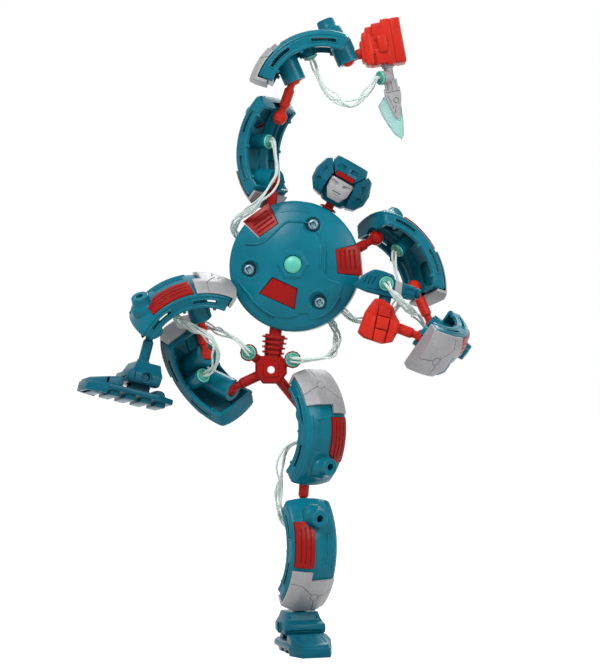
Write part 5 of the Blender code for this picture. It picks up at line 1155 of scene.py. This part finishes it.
def front_shell():
    """The front shell: shield, beads, screw seats, lens collar and the belly panel's window."""
    top, seat = dome_height(0), dome_height(SCREW_OUT + SCREW_SEAT_R) - 1.6
    floor = dome_height(hypot(WINDOW_OUT, WINDOW_HALF[1])) - 1.1
    steps = joined(raised(shield_outline(), 0.9), *(rim_bead(*bead) for bead in BEADS))
    seat_cut = [(0, 0), (SCREW_SEAT_R, 0), (SCREW_SEAT_R, 2.6), (SCREW_SEAT_R + 1.6, 5),
                (SCREW_SEAT_R + 1.6, 12), (0, 12)]
    for spot in SCREW_SPOTS:
        steps += joined(rod(spot + UP * GAP, spot + UP * seat, SCREW_SEAT_R + 1))
        steps += cut_by(turned(seat_cut, at(*(spot + UP * seat))),
                        rod(spot - UP * GAP, spot + UP * 30, SHANK_R + GAP))
    steps += cut_by(*edge_cutters())
    collar = [(0, -1.6), (LENS_RING_R + 1.2, -1.6), (LENS_RING_R + 0.6, 0.7), (LENS_RING_R - 0.8, 1.5),
              (0, 1.5)]
    steps += joined(turned(collar, at(0, 0, top), 6))
    steps += cut_by(rod((0, 0, top - 1), (0, 0, top + 9), LENS_R + GAP, LENS_R + GAP, 48),
                    rod((0, 0, -1), (0, 0, top + 9), 1.8 + GAP))
    steps += joined(worked(window(2, floor - 1.6, floor + 2), *kept_in(dome_solid(DOME - 0.4))))
    steps += cut_by(window(GAP, floor, 30))
    return with_extras(worked(dome_shell(DOME), *steps), shield_ridges())


def back_shell():
    """The back shell: a raised ring with six recesses, screw posts, and bosses for three plugs."""
    steps = joined(raised([disc_spot(19.0, 7.5 * i)[:2] for i in range(48)], 0.7, BACK_DOME))
    for angle in (30, 90, 150, 210, 270, 330):
        steps += cut_by(rod(disc_spot(11, angle, BACK_DOME + 0.35), disc_spot(11, angle, 20), 2.4, 2.6))
    for spot in SCREW_SPOTS:
        spot = TURNED_OVER @ spot
        steps += joined(rod(spot + UP * GAP, spot + UP * (BACK_DOME - 3), SHANK_R + 1.7))
        steps += cut_by(rod(spot - UP, spot + UP * 5.5, SHANK_R + GAP))
    steps += cut_by(*edge_cutters(TURNED_OVER))
    boss = [(0, -1.5), (BOSS_R + 1.2, -1.5), (BOSS_R + 0.9, 0.4), (BOSS_R, 1.2), (BOSS_R, 1.7),
            (BOSS_R - 0.3, 2.0), (0, 2.0)]
    for angle in (154, 292, 318):
        spot = TURNED_OVER @ disc_spot(BACK_PLUG_OUT, angle) + UP * dome_height(BACK_PLUG_OUT, BACK_DOME)
        steps += joined(turned(boss, at(*spot))) + cut_by(rod(spot - UP * 3, spot + UP * 3, PLUG_STEM_R + GAP))
    return worked(dome_shell(BACK_DOME), *steps)


def domed_lens():
    seat = dome_height(0) - 0.7
    profile = [(LENS_R * (i / 10), seat + 1.1 + 2.0 * sqrt(1 - (i / 10) ** 2 * 0.96)) for i in range(11)]
    return turned(profile + [(LENS_R, seat + 1.1), (LENS_R, seat), (1.8, seat), (1.8, seat - 4.3),
                             (0, seat - 4.3)], sides=64)


def square_screw():
    """A screw with a flanged head and a square socket."""
    seat = dome_height(SCREW_OUT + SCREW_SEAT_R) - 1.3
    head = ((0, 1.7), (1.9, 1.7), (2.5, 1.5), (3.0, 0.9), (3.2, 0.4), (3.2, 0), (SHANK_R, 0))
    profile = [(r, seat + up) for r, up in head] + [(SHANK_R, -4.5), (0, -4.5)]
    hole = block((3.0, 3.0, 4), at(0, 0, seat + 1.9) @ Matrix.Rotation(0.55, 4, "Z"))
    return worked(turned(profile, sides=48), *cut_by(hole))


placed(front_shell(), "front_torso_shell", TEAL, torso_at, "torso", "teal_plastic", "torso_front_shell",
       smooth=28.0)
placed(back_shell(), "back_torso_shell", TEAL, torso_at @ TURNED_OVER, "torso", "teal_plastic",
       "torso_back_shell", smooth=28.0)
placed(domed_lens(), "domed_lens", MINT, torso_at, "torso", "mint_rubber", "chest_lens")
for number, spot in enumerate(SCREW_SPOTS, 1):
    placed(square_screw(), "square_screw_%d" % number, STEEL, torso_at @ at(*spot), "torso", "steel",
           "torso_screw_%d" % number)

# ---- Fists ------------------------------------------------------------------------------------------------
# Each fist is a stepped block of fingers moulded with its own stem, which ends in the wrist's ball. A round
# hole runs down through it for a grip, and its seams part the fingers, the thumb and the palm.
HOLE_R = 3.7
UPRIGHT = spun(90, "X")
# Each block of the right fist, its palm first: its size, its middle and how far its edges are rounded.
FIST_BLOCKS = (
    ((13.6, 12.6, 21.6), (-2.4, 0.8, -0.6), 1.0), ((5.6, 15.4, 25.0), (7.6, 0.0, 0.0), 0.9),
    ((5.4, 14.4, 25.0), (2.4, 0.2, 0.3), 0.8), ((7.4, 13.6, 9.6), (-1.9, 0.0, 6.6), 1.0),
    ((5.2, 16.4, 9.4), (-0.9, -0.6, -0.6), 0.9), ((8.4, 15.0, 8.6), (-1.6, 0.0, -7.0), 1.1),
    ((5.0, 13.2, 10.2), (-5.2, 0.4, -0.6), 0.9), ((5.2, 13.8, 18.6), (-9.0, 0.0, -1.6), 1.6),
    ((3.2, 11.6, 12.4), (-11.6, 0.0, -2.6), 1.3),
)
NAIL_CUTS = (-6.4, -0.2, 6.0)
# The left fist is shut tighter: its fingers narrow to the top in steps. Each step is an (across, up) outline
# and how far it reaches to the front and to the back.
SHUT_STEPS = (
    (((-10.9, -8.4), (-7.4, -10.6), (3.0, -11.9), (8.4, -9.8), (10.6, -2.6), (10.2, 1.6), (7.0, 5.4),
      (5.2, 9.0), (-1.0, 11.9), (-5.3, 11.6), (-7.4, 7.4), (-9.2, 3.2)), 5.6, 7.0),
    (((-10.2, -7.6), (-7.0, -9.6), (-2.6, -10.6), (-2.6, 1.6), (-8.0, 3.0)), 6.8, 6.4),
    (((-7.2, 1.9), (-2.6, 0.9), (-2.6, 8.8), (-5.2, 9.4)), 6.4, 6.4),
    (((-2.3, -11.2), (3.2, -11.6), (4.2, -4.6), (-2.3, -4.2)), 7.6, 6.8),
    (((-2.3, -3.9), (4.2, -4.3), (4.6, 2.4), (-2.3, 2.8)), 8.2, 6.8),
    (((-2.3, 3.1), (4.5, 2.7), (4.2, 7.6), (-1.6, 8.6)), 7.4, 6.6),
    (((4.5, -10.6), (8.0, -9.2), (9.8, -3.0), (9.2, 1.2), (4.9, 2.4)), 6.8, 6.4),
)


def ball_and_stem(ball, root):
    """A wrist or ankle ball with its thin neck and its thicker stem, as far as its root."""
    long, neck = (root - ball).length, BALL_R + 0.9
    place = at(*ball) @ (root - ball).normalized().to_track_quat("Z", "Y").to_matrix().to_4x4()
    stem = [(0, 0), (NECK_R, 0), (NECK_R, neck), (ROD_R, neck + 1.2), (ROD_R, long), (0, long)]
    return worked(round_ball(ball, BALL_R, 18), *joined(turned(stem, place, 28)))


def softened(body, offset, segments=2):
    """Rounds every edge of a body."""
    shape = bmesh.new()
    shape.from_mesh(body.data)
    ease_edges(shape, offset, segments)
    shape.to_mesh(body.data)
    shape.free()
    return body


def sized(size, spot, lean=0.0, axis="X"):
    """A plain block at a spot, leaned about one way."""
    return block(size, at(*spot) @ spun(lean, axis))


def open_fist():
    palm, *fingers = (block(size, at(*middle), rounding) for size, middle, rounding in FIST_BLOCKS)
    nails = [sized(size, (x, y, z)) for size, x, y in (((7, 1.1, 0.7), 9.0, 7.7), ((1.1, 13, 0.7), 10.4, 1.0))
             for z in NAIL_CUTS]
    return worked(palm, *joined(*fingers), *cut_by(*nails))


def shut_fist():
    palm, *fingers = (softened(slab(outline, -back, front, UPRIGHT), 0.7)
                      for outline, front, back in SHUT_STEPS)
    return worked(palm, *joined(*fingers))


def moulded_fist(side):
    fist = open_fist() if side == "right" else shut_fist()
    fist.data.transform(grip_at[side])
    ball, middle = joint_at["wrist_" + side] / MM, grip_at[side].translation / MM
    ends = (grip_at[side] @ Vector((0, 0, z * MM)) / MM for z in (-20, 20))
    return worked(fist, *joined(ball_and_stem(ball, middle + (ball - middle).normalized() * 7.0)),
                  *cut_by(rod(*ends, HOLE_R, sides=36)))


for side in ("right", "left"):
    placed(moulded_fist(side), "stepped_fist_" + side, BRIGHT_RED, Matrix(), "hand_" + side, "red_plastic",
           "hand_" + side, smooth=30.0)

# ---- Dagger hilt ------------------------------------------------------------------------------------------
# The hilt is moulded in one and sprayed silver: a round grip in the fist, a boss for a plug, and a flat
# guard that narrows to a point over the blade, with cut lines and a ring on both its faces.
GRIP_R = 3.4
GRIP_LOW = -13.1
GUARD_TOP = -19.8
GUARD_WIDE = 8.8
GUARD_THICK = 5.2
TONGUE_THICK = 1.2
TONGUE_TOP = -27.6
TONGUE_TIP = -42.0
BLADE_THICK = 3.0


def silver_hilt():
    half, neck, end = GUARD_WIDE / 2, GRIP_R - 0.9, GUARD_TOP - 2
    grip = [(0, 11.5), (GRIP_R - 0.7, 11.5), (GRIP_R, 10.5), (GRIP_R, GRIP_LOW), (neck, GRIP_LOW - 0.8),
            (neck, end), (0, end)]
    body = mirrored([(half, TONGUE_TOP - 0.6), (half, TONGUE_TOP + 2.6), (half - 0.9, TONGUE_TOP + 3.4),
                     (half - 0.9, GUARD_TOP - 0.6), (half - 1.6, GUARD_TOP)])
    tongue = [(-half, TONGUE_TOP), (-half + 0.4, TONGUE_TOP - 3.0), (-1.0, TONGUE_TIP + 1.2), (0.4, TONGUE_TIP),
              (1.6, TONGUE_TIP + 1.6), (half - 0.2, TONGUE_TOP - 3.6), (half, TONGUE_TOP)]
    near, far = BLADE_THICK / 2 + GAP, BLADE_THICK / 2 + GAP + TONGUE_THICK
    steps = joined(slab(body, -GUARD_THICK / 2, GUARD_THICK / 2, UPRIGHT), slab(tongue, -far, -near, UPRIGHT),
                   slab(tongue, near, far, UPRIGHT))
    seat, way = (Vector(part) for part in HILT_SEAT)
    steps += joined(rod(seat, seat + way * 5, 3.8)) + cut_by(rod(seat - way, seat + way * 4, PLUG_STEM_R + GAP))
    ring = [(1.15, -0.5), (1.65, -0.5), (1.65, 0.5), (1.15, 0.5), (1.15, -0.5)]
    for face in (-1, 1):
        skin, flat = face * far, face * GUARD_THICK / 2
        steps += cut_by(*(sized((0.75, 0.9, 5.2), (x, flat, GUARD_TOP - 3.8)) for x in (-2.3, 0.0, 2.3)),
                        sized((7.6, 0.9, 0.6), (0, flat, TONGUE_TOP + 0.6)),
                        turned(ring, at(1.1, skin, TONGUE_TOP - 4.4) @ UPRIGHT, 28),
                        sized((0.5, 0.9, 8.0), (-1.9, skin, TONGUE_TOP - 5.2), -16.0, "Y"),
                        sized((0.5, 0.9, 4.6), (-0.1, skin, TONGUE_TOP - 9.2), 17.0, "Y"))
    return worked(turned(grip), *steps, *cut_by(sized((3.6, 2.4, 7.4), (0, 0, TONGUE_TOP - 0.2))))


placed(silver_hilt(), "silver_hilt", SILVER, grip_at["right"], "dagger", "silver_paint", "dagger_hilt",
       smooth=30.0)

# ---- Blaster ----------------------------------------------------------------------------------------------
# The blaster is a deep teal body of two shells with a stepped barrel and a post for the fist. A silver band
# is sprayed round its middle, and its sides are cut with vents and a long seam.
BLASTER_LONG, BLASTER_WIDE, BLASTER_TALL = 34.0, 10.0, 13.0
BLASTER_BASE = 13.9
BLASTER_BACK = -19.04
# The blaster's side view, in shares of its length and height.
BLASTER_SIDE = ((0, 0.15), (0.10, 0.52), (0.17, 0.75), (0.30, 1.0), (0.44, 1.0), (0.62, 0.92), (0.66, 0.7),
                (1.0, 0.62), (1.0, 0.1), (0.7, -0.04), (0.25, 0.0))
BAND = (4.6, 8.4)
BAND_LEAN = 1.6


def blaster_outline(grown=0.0):
    """The blaster's side view, grown outwards by a little."""
    middle = Vector((BLASTER_BACK + BLASTER_LONG / 2, BLASTER_BASE + BLASTER_TALL / 2))
    spots = [Vector((BLASTER_BACK + x * BLASTER_LONG, BLASTER_BASE + z * BLASTER_TALL))
             for x, z in BLASTER_SIDE]
    return [spot + (spot - middle).normalized() * grown for spot in spots]


def blaster_body():
    half, tip, level = BLASTER_WIDE / 2, BLASTER_BACK + BLASTER_LONG, BLASTER_BASE + BLASTER_TALL * 0.36
    x, y, z = BLASTER_SEAT
    steps = joined(rod((0, 0, BLASTER_BASE + 2), (0, 0, -10.6), GRIP_R),
                   rod((tip - 1, 0, level), (tip + 3.2, 0, level), 2.7),
                   rod((tip + 1, 0, level), (tip + 2, 0, level), 3.1))
    steps += cut_by(rod((tip, 0, level), (tip + 4, 0, level), 1.4),
                    rod((x, y - 1, z), (x, y + 4, z), PLUG_STEM_R + GAP))
    steps += joined(worked(rod((x, y + 0.4, z), (x, y - 0.7, z), 5.2, 4.7),
                           *cut_by(rod((x, y - 2, z), (x, y + 2, z), 4.3))))
    for face in (-half, half):
        steps += cut_by(*(sized((0.9, 1.2, 4.6), (vent, face, 20.6), 18, "Y") for vent in (-12.4, -10.2, -8.0)),
                        sized((25, 0.8, 0.5), (1.5, face, 16.4), -2, "Y"),
                        sized((4.4, 1.0, 2.0), (11.6, face, 19.2)))
    return worked(softened(slab(blaster_outline(), -half, half, UPRIGHT), 1.2, 3), *steps)


def blaster_band():
    """The silver band: a thin sleeve round the body, between two slanting sides."""
    half = BLASTER_WIDE / 2
    low, high = BAND
    slant = [(low, 12.0), (high, 12.0), (high - BAND_LEAN, 29), (low - BAND_LEAN, 29)]
    return worked(slab(blaster_outline(0.35), -half - 0.3, half + 0.3, UPRIGHT),
                  *kept_in(slab(slant, -2 * half, 2 * half, UPRIGHT)),
                  *cut_by(slab(blaster_outline(-0.15), -half + 0.1, half - 0.1, UPRIGHT)))


placed(blaster_body(), "blaster_body", DEEP_TEAL, grip_at["left"], "blaster", "deep_teal_plastic", "blaster",
       smooth=30.0)
placed(blaster_band(), "blaster_silver_band", SILVER, grip_at["left"], "blaster", "silver_paint", smooth=30.0)

# ---- Ankles and feet --------------------------------------------------------------------------------------
# Each ankle is a boot-shaped block on its own ball and rod, split below for the foot's tongue. The foot has a
# faceted toe over a blocked tread, and swings on a cross pin that snaps into the ankle's two eyes.
ANKLE = (23.4, 18.0, 12.2)
ANKLE_ROD = 18.85 * MM
ANKLE_PIN_LOW = 2.5
ANKLE_EYE_R = 3.5
FOOT_WIDE, FOOT_LONG = 24.4, 50.0
TREAD, DECK, TOE_RISE, TOE_START = 2.6, 5.8, 5.0, -5.6
FOOT_HINGE = Vector((0.0, 6.0, 13.4))
TONGUE, TONGUE_R = 8.0, 4.0
PIN_R = 2.0
FLANK = spun(90, "Z") @ UPRIGHT

foot_turn = spun(17, "Z")
heel_way = Vector((0.90, 0.35, -0.24))
boot_turn = facing(Vector((0.42, -0.90, 0.10)).normalized().cross(heel_way), heel_way)
boot_top = joint_at["ankle_right"] + Vector((-0.25, 0.0, -0.97)).normalized() * ANKLE_ROD
pin_spot = FOOT_HINGE + UP * ANKLE_PIN_LOW
ankle_at = {"left": foot_turn @ at(*pin_spot),
            "right": Matrix.Translation(boot_top) @ boot_turn @ at(0, 0, -ANKLE[2] / 2)}
foot_at = {"left": foot_turn, "right": ankle_at["right"] @ at(*-pin_spot)}


def boot_ankle(side):
    wide, deep, tall = (size / 2 for size in ANKLE)
    front = mirrored([(wide * 0.74, tall), (wide * 0.84, tall * 0.42), (wide, -tall * 0.10),
                      (wide, -tall * 0.76), (wide * 0.9, -tall)])
    flank = [(-deep * 0.62, tall), (deep * 0.86, tall), (deep, 0), (deep * 0.92, -tall), (-deep * 1.04, -tall),
             (-deep * 1.16, -tall * 0.5), (-deep * 1.10, -tall * 0.04), (-deep * 0.86, tall * 0.14)]
    body = worked(slab(front, -1.5 * deep, 1.5 * deep, UPRIGHT), *kept_in(slab(flank, -20, 20, FLANK)))
    steps = []
    for s in (-1, 1):
        eye, out = Vector((s * wide, 0, -ANKLE_PIN_LOW)), Vector((s, 0, 0))
        steps += joined(rod(eye - out * 2, eye + out * 0.6, ANKLE_EYE_R, ANKLE_EYE_R - 0.3))
        steps += cut_by(rod(eye - out * 0.3, eye + out, 2.9, 3.0),
                        sized((0.9, 7.6, 0.7), (s * wide * 0.93, -0.6, 3.3)),
                        sized((1.0, 0.8, 4.6), (s * wide * 0.985, -6.6, -2.8)))
    steps += cut_by(sized((15.6, 0.9, 0.6), (0, -deep * 0.86, tall * 0.20), 20.0),
                    sized((17.0, 1.1, 0.6), (0, -deep * 1.10, -tall * 0.60)),
                    *(sized((0.6, 1.0, 4.6), (x, -deep * 0.74, tall * 0.60), 20.0) for x in (-7.6, 7.6)),
                    sized((TONGUE + 0.6, 4 * deep, 2 * tall), (0, 2 * deep - 6.6, 1.6 - tall)),
                    rod((-2 * wide, 0, -ANKLE_PIN_LOW), (2 * wide, 0, -ANKLE_PIN_LOW), PIN_R + GAP))
    body = worked(softened(body, 0.6), *steps)
    body.data.transform(ankle_at[side])
    ball, top = joint_at["ankle_" + side] / MM, ankle_at[side] @ (UP * tall * MM) / MM
    way = (top - ball).normalized()
    root = top + way * 3
    collar = rod(top - way * 2.2, root, ROD_R + 0.5, ROD_R + 1.5)
    return worked(body, *joined(ball_and_stem(ball, root), collar))


def booted_foot():
    half, end, heel = FOOT_WIDE / 2, FOOT_LONG / 2, FOOT_LONG / 2 - 8
    sole = mirrored([(half * 0.62, end), (half, end - 10), (half, 11 - end), (half * 0.66, -end)])
    steps = []
    for i in range(5):
        wide = FOOT_WIDE - (4.0 if i in (1, 2, 3) else 8.5)
        lug = sized((wide, 5.75, TREAD + 1.0), (0, (i - 2) * 9.0, (TREAD + 1.0) / 2))
        steps += joined(softened(lug, 0.35))
    skirt = mirrored([(half * 0.66, -end), (half, 11 - end), (half - 1.9, 11 - end),
                      (half * 0.66 - 1.2, 1.9 - end)])
    steps += joined(softened(slab(skirt, 0.15, TREAD + 1.2), 0.3))
    front = -end + 0.9
    slope = [(front, 1.3), (TOE_START - 3, TOE_RISE), (TOE_START, TOE_RISE), (TOE_START, -1), (front, -1)]
    narrow = mirrored([(half * 0.60, front), (half * 0.92, 10.4 - end), (half * 0.90, TOE_START + 1)])
    deck = at(0, 0, DECK) @ FLANK
    toe = worked(slab(slope, -half * 0.92, half * 0.92, deck), *kept_in(slab(narrow, -30, 30)))
    steps += joined(softened(toe, 0.7))
    ahead, high = (front + TOE_START) / 2 - 1.2, DECK + (TOE_RISE + 1.3) / 2
    steps += cut_by(*(sized((0.6, 9.0, 1.2), (x, ahead - 0.6, high + 0.25), 13.0) for x in (-6.6, 6.6)),
                    sized((12.6, 0.6, 1.4), (0, front + 5.2, DECK + 2.6), 13.0))
    y, level, reach = FOOT_HINGE.y, FOOT_HINGE.z - DECK, ANKLE[0] / 2 - 1.6
    steps += joined(rod((-7.3, heel, DECK), (7.3, heel, DECK), 3),
                    rod((-3.4, heel, DECK), (3.4, heel, DECK), 3.6))
    tongue = [(y + out, up) for out, up in mirrored([(TONGUE_R * 1.6, -1), (TONGUE_R, level),
                                                     (TONGUE_R * 0.5, level + TONGUE_R * 0.86)])]
    steps += joined(slab(tongue, -TONGUE / 2, TONGUE / 2, deck),
                    rod((-reach, y, FOOT_HINGE.z), (reach, y, FOOT_HINGE.z), PIN_R))
    return worked(softened(slab(sole, TREAD, DECK), 0.8), *steps)


for side in ("right", "left"):
    placed(boot_ankle(side), "boot_ankle_" + side, DEEP_TEAL, Matrix(), "ankle_" + side, "teal_plastic",
           "ankle_" + side, smooth=30.0)
    placed(booted_foot(), "booted_foot_" + side, DEEP_TEAL, foot_at[side], "foot_" + side, "teal_plastic",
           "foot_" + side, smooth=30.0)

# ---- Plain parts that keep their moulded shape -----------------------------------------------------------
# Links, hip frame, shoulders, head and blade come from the press as they are, each in its own finish. The
# links of the elbows and knees are moulded in the brighter red of the fists.
slot_of = {row["node"]: row["material_slot"] for row in frame["record"]["subparts"]}
for node, piece in frame["nodes"].items():
    finish = FINISHES[slot_of[node]]
    if node == "helmet":
        finish = DEEP_TEAL
    elif node.startswith(("elbow_link", "knee_link")):
        finish = BRIGHT_RED
    for slot in piece.material_slots:
        slot.material = finish

size = {"cad": [list(corner) for corner in cad_box], "visual": [list(corner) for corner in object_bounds()]}
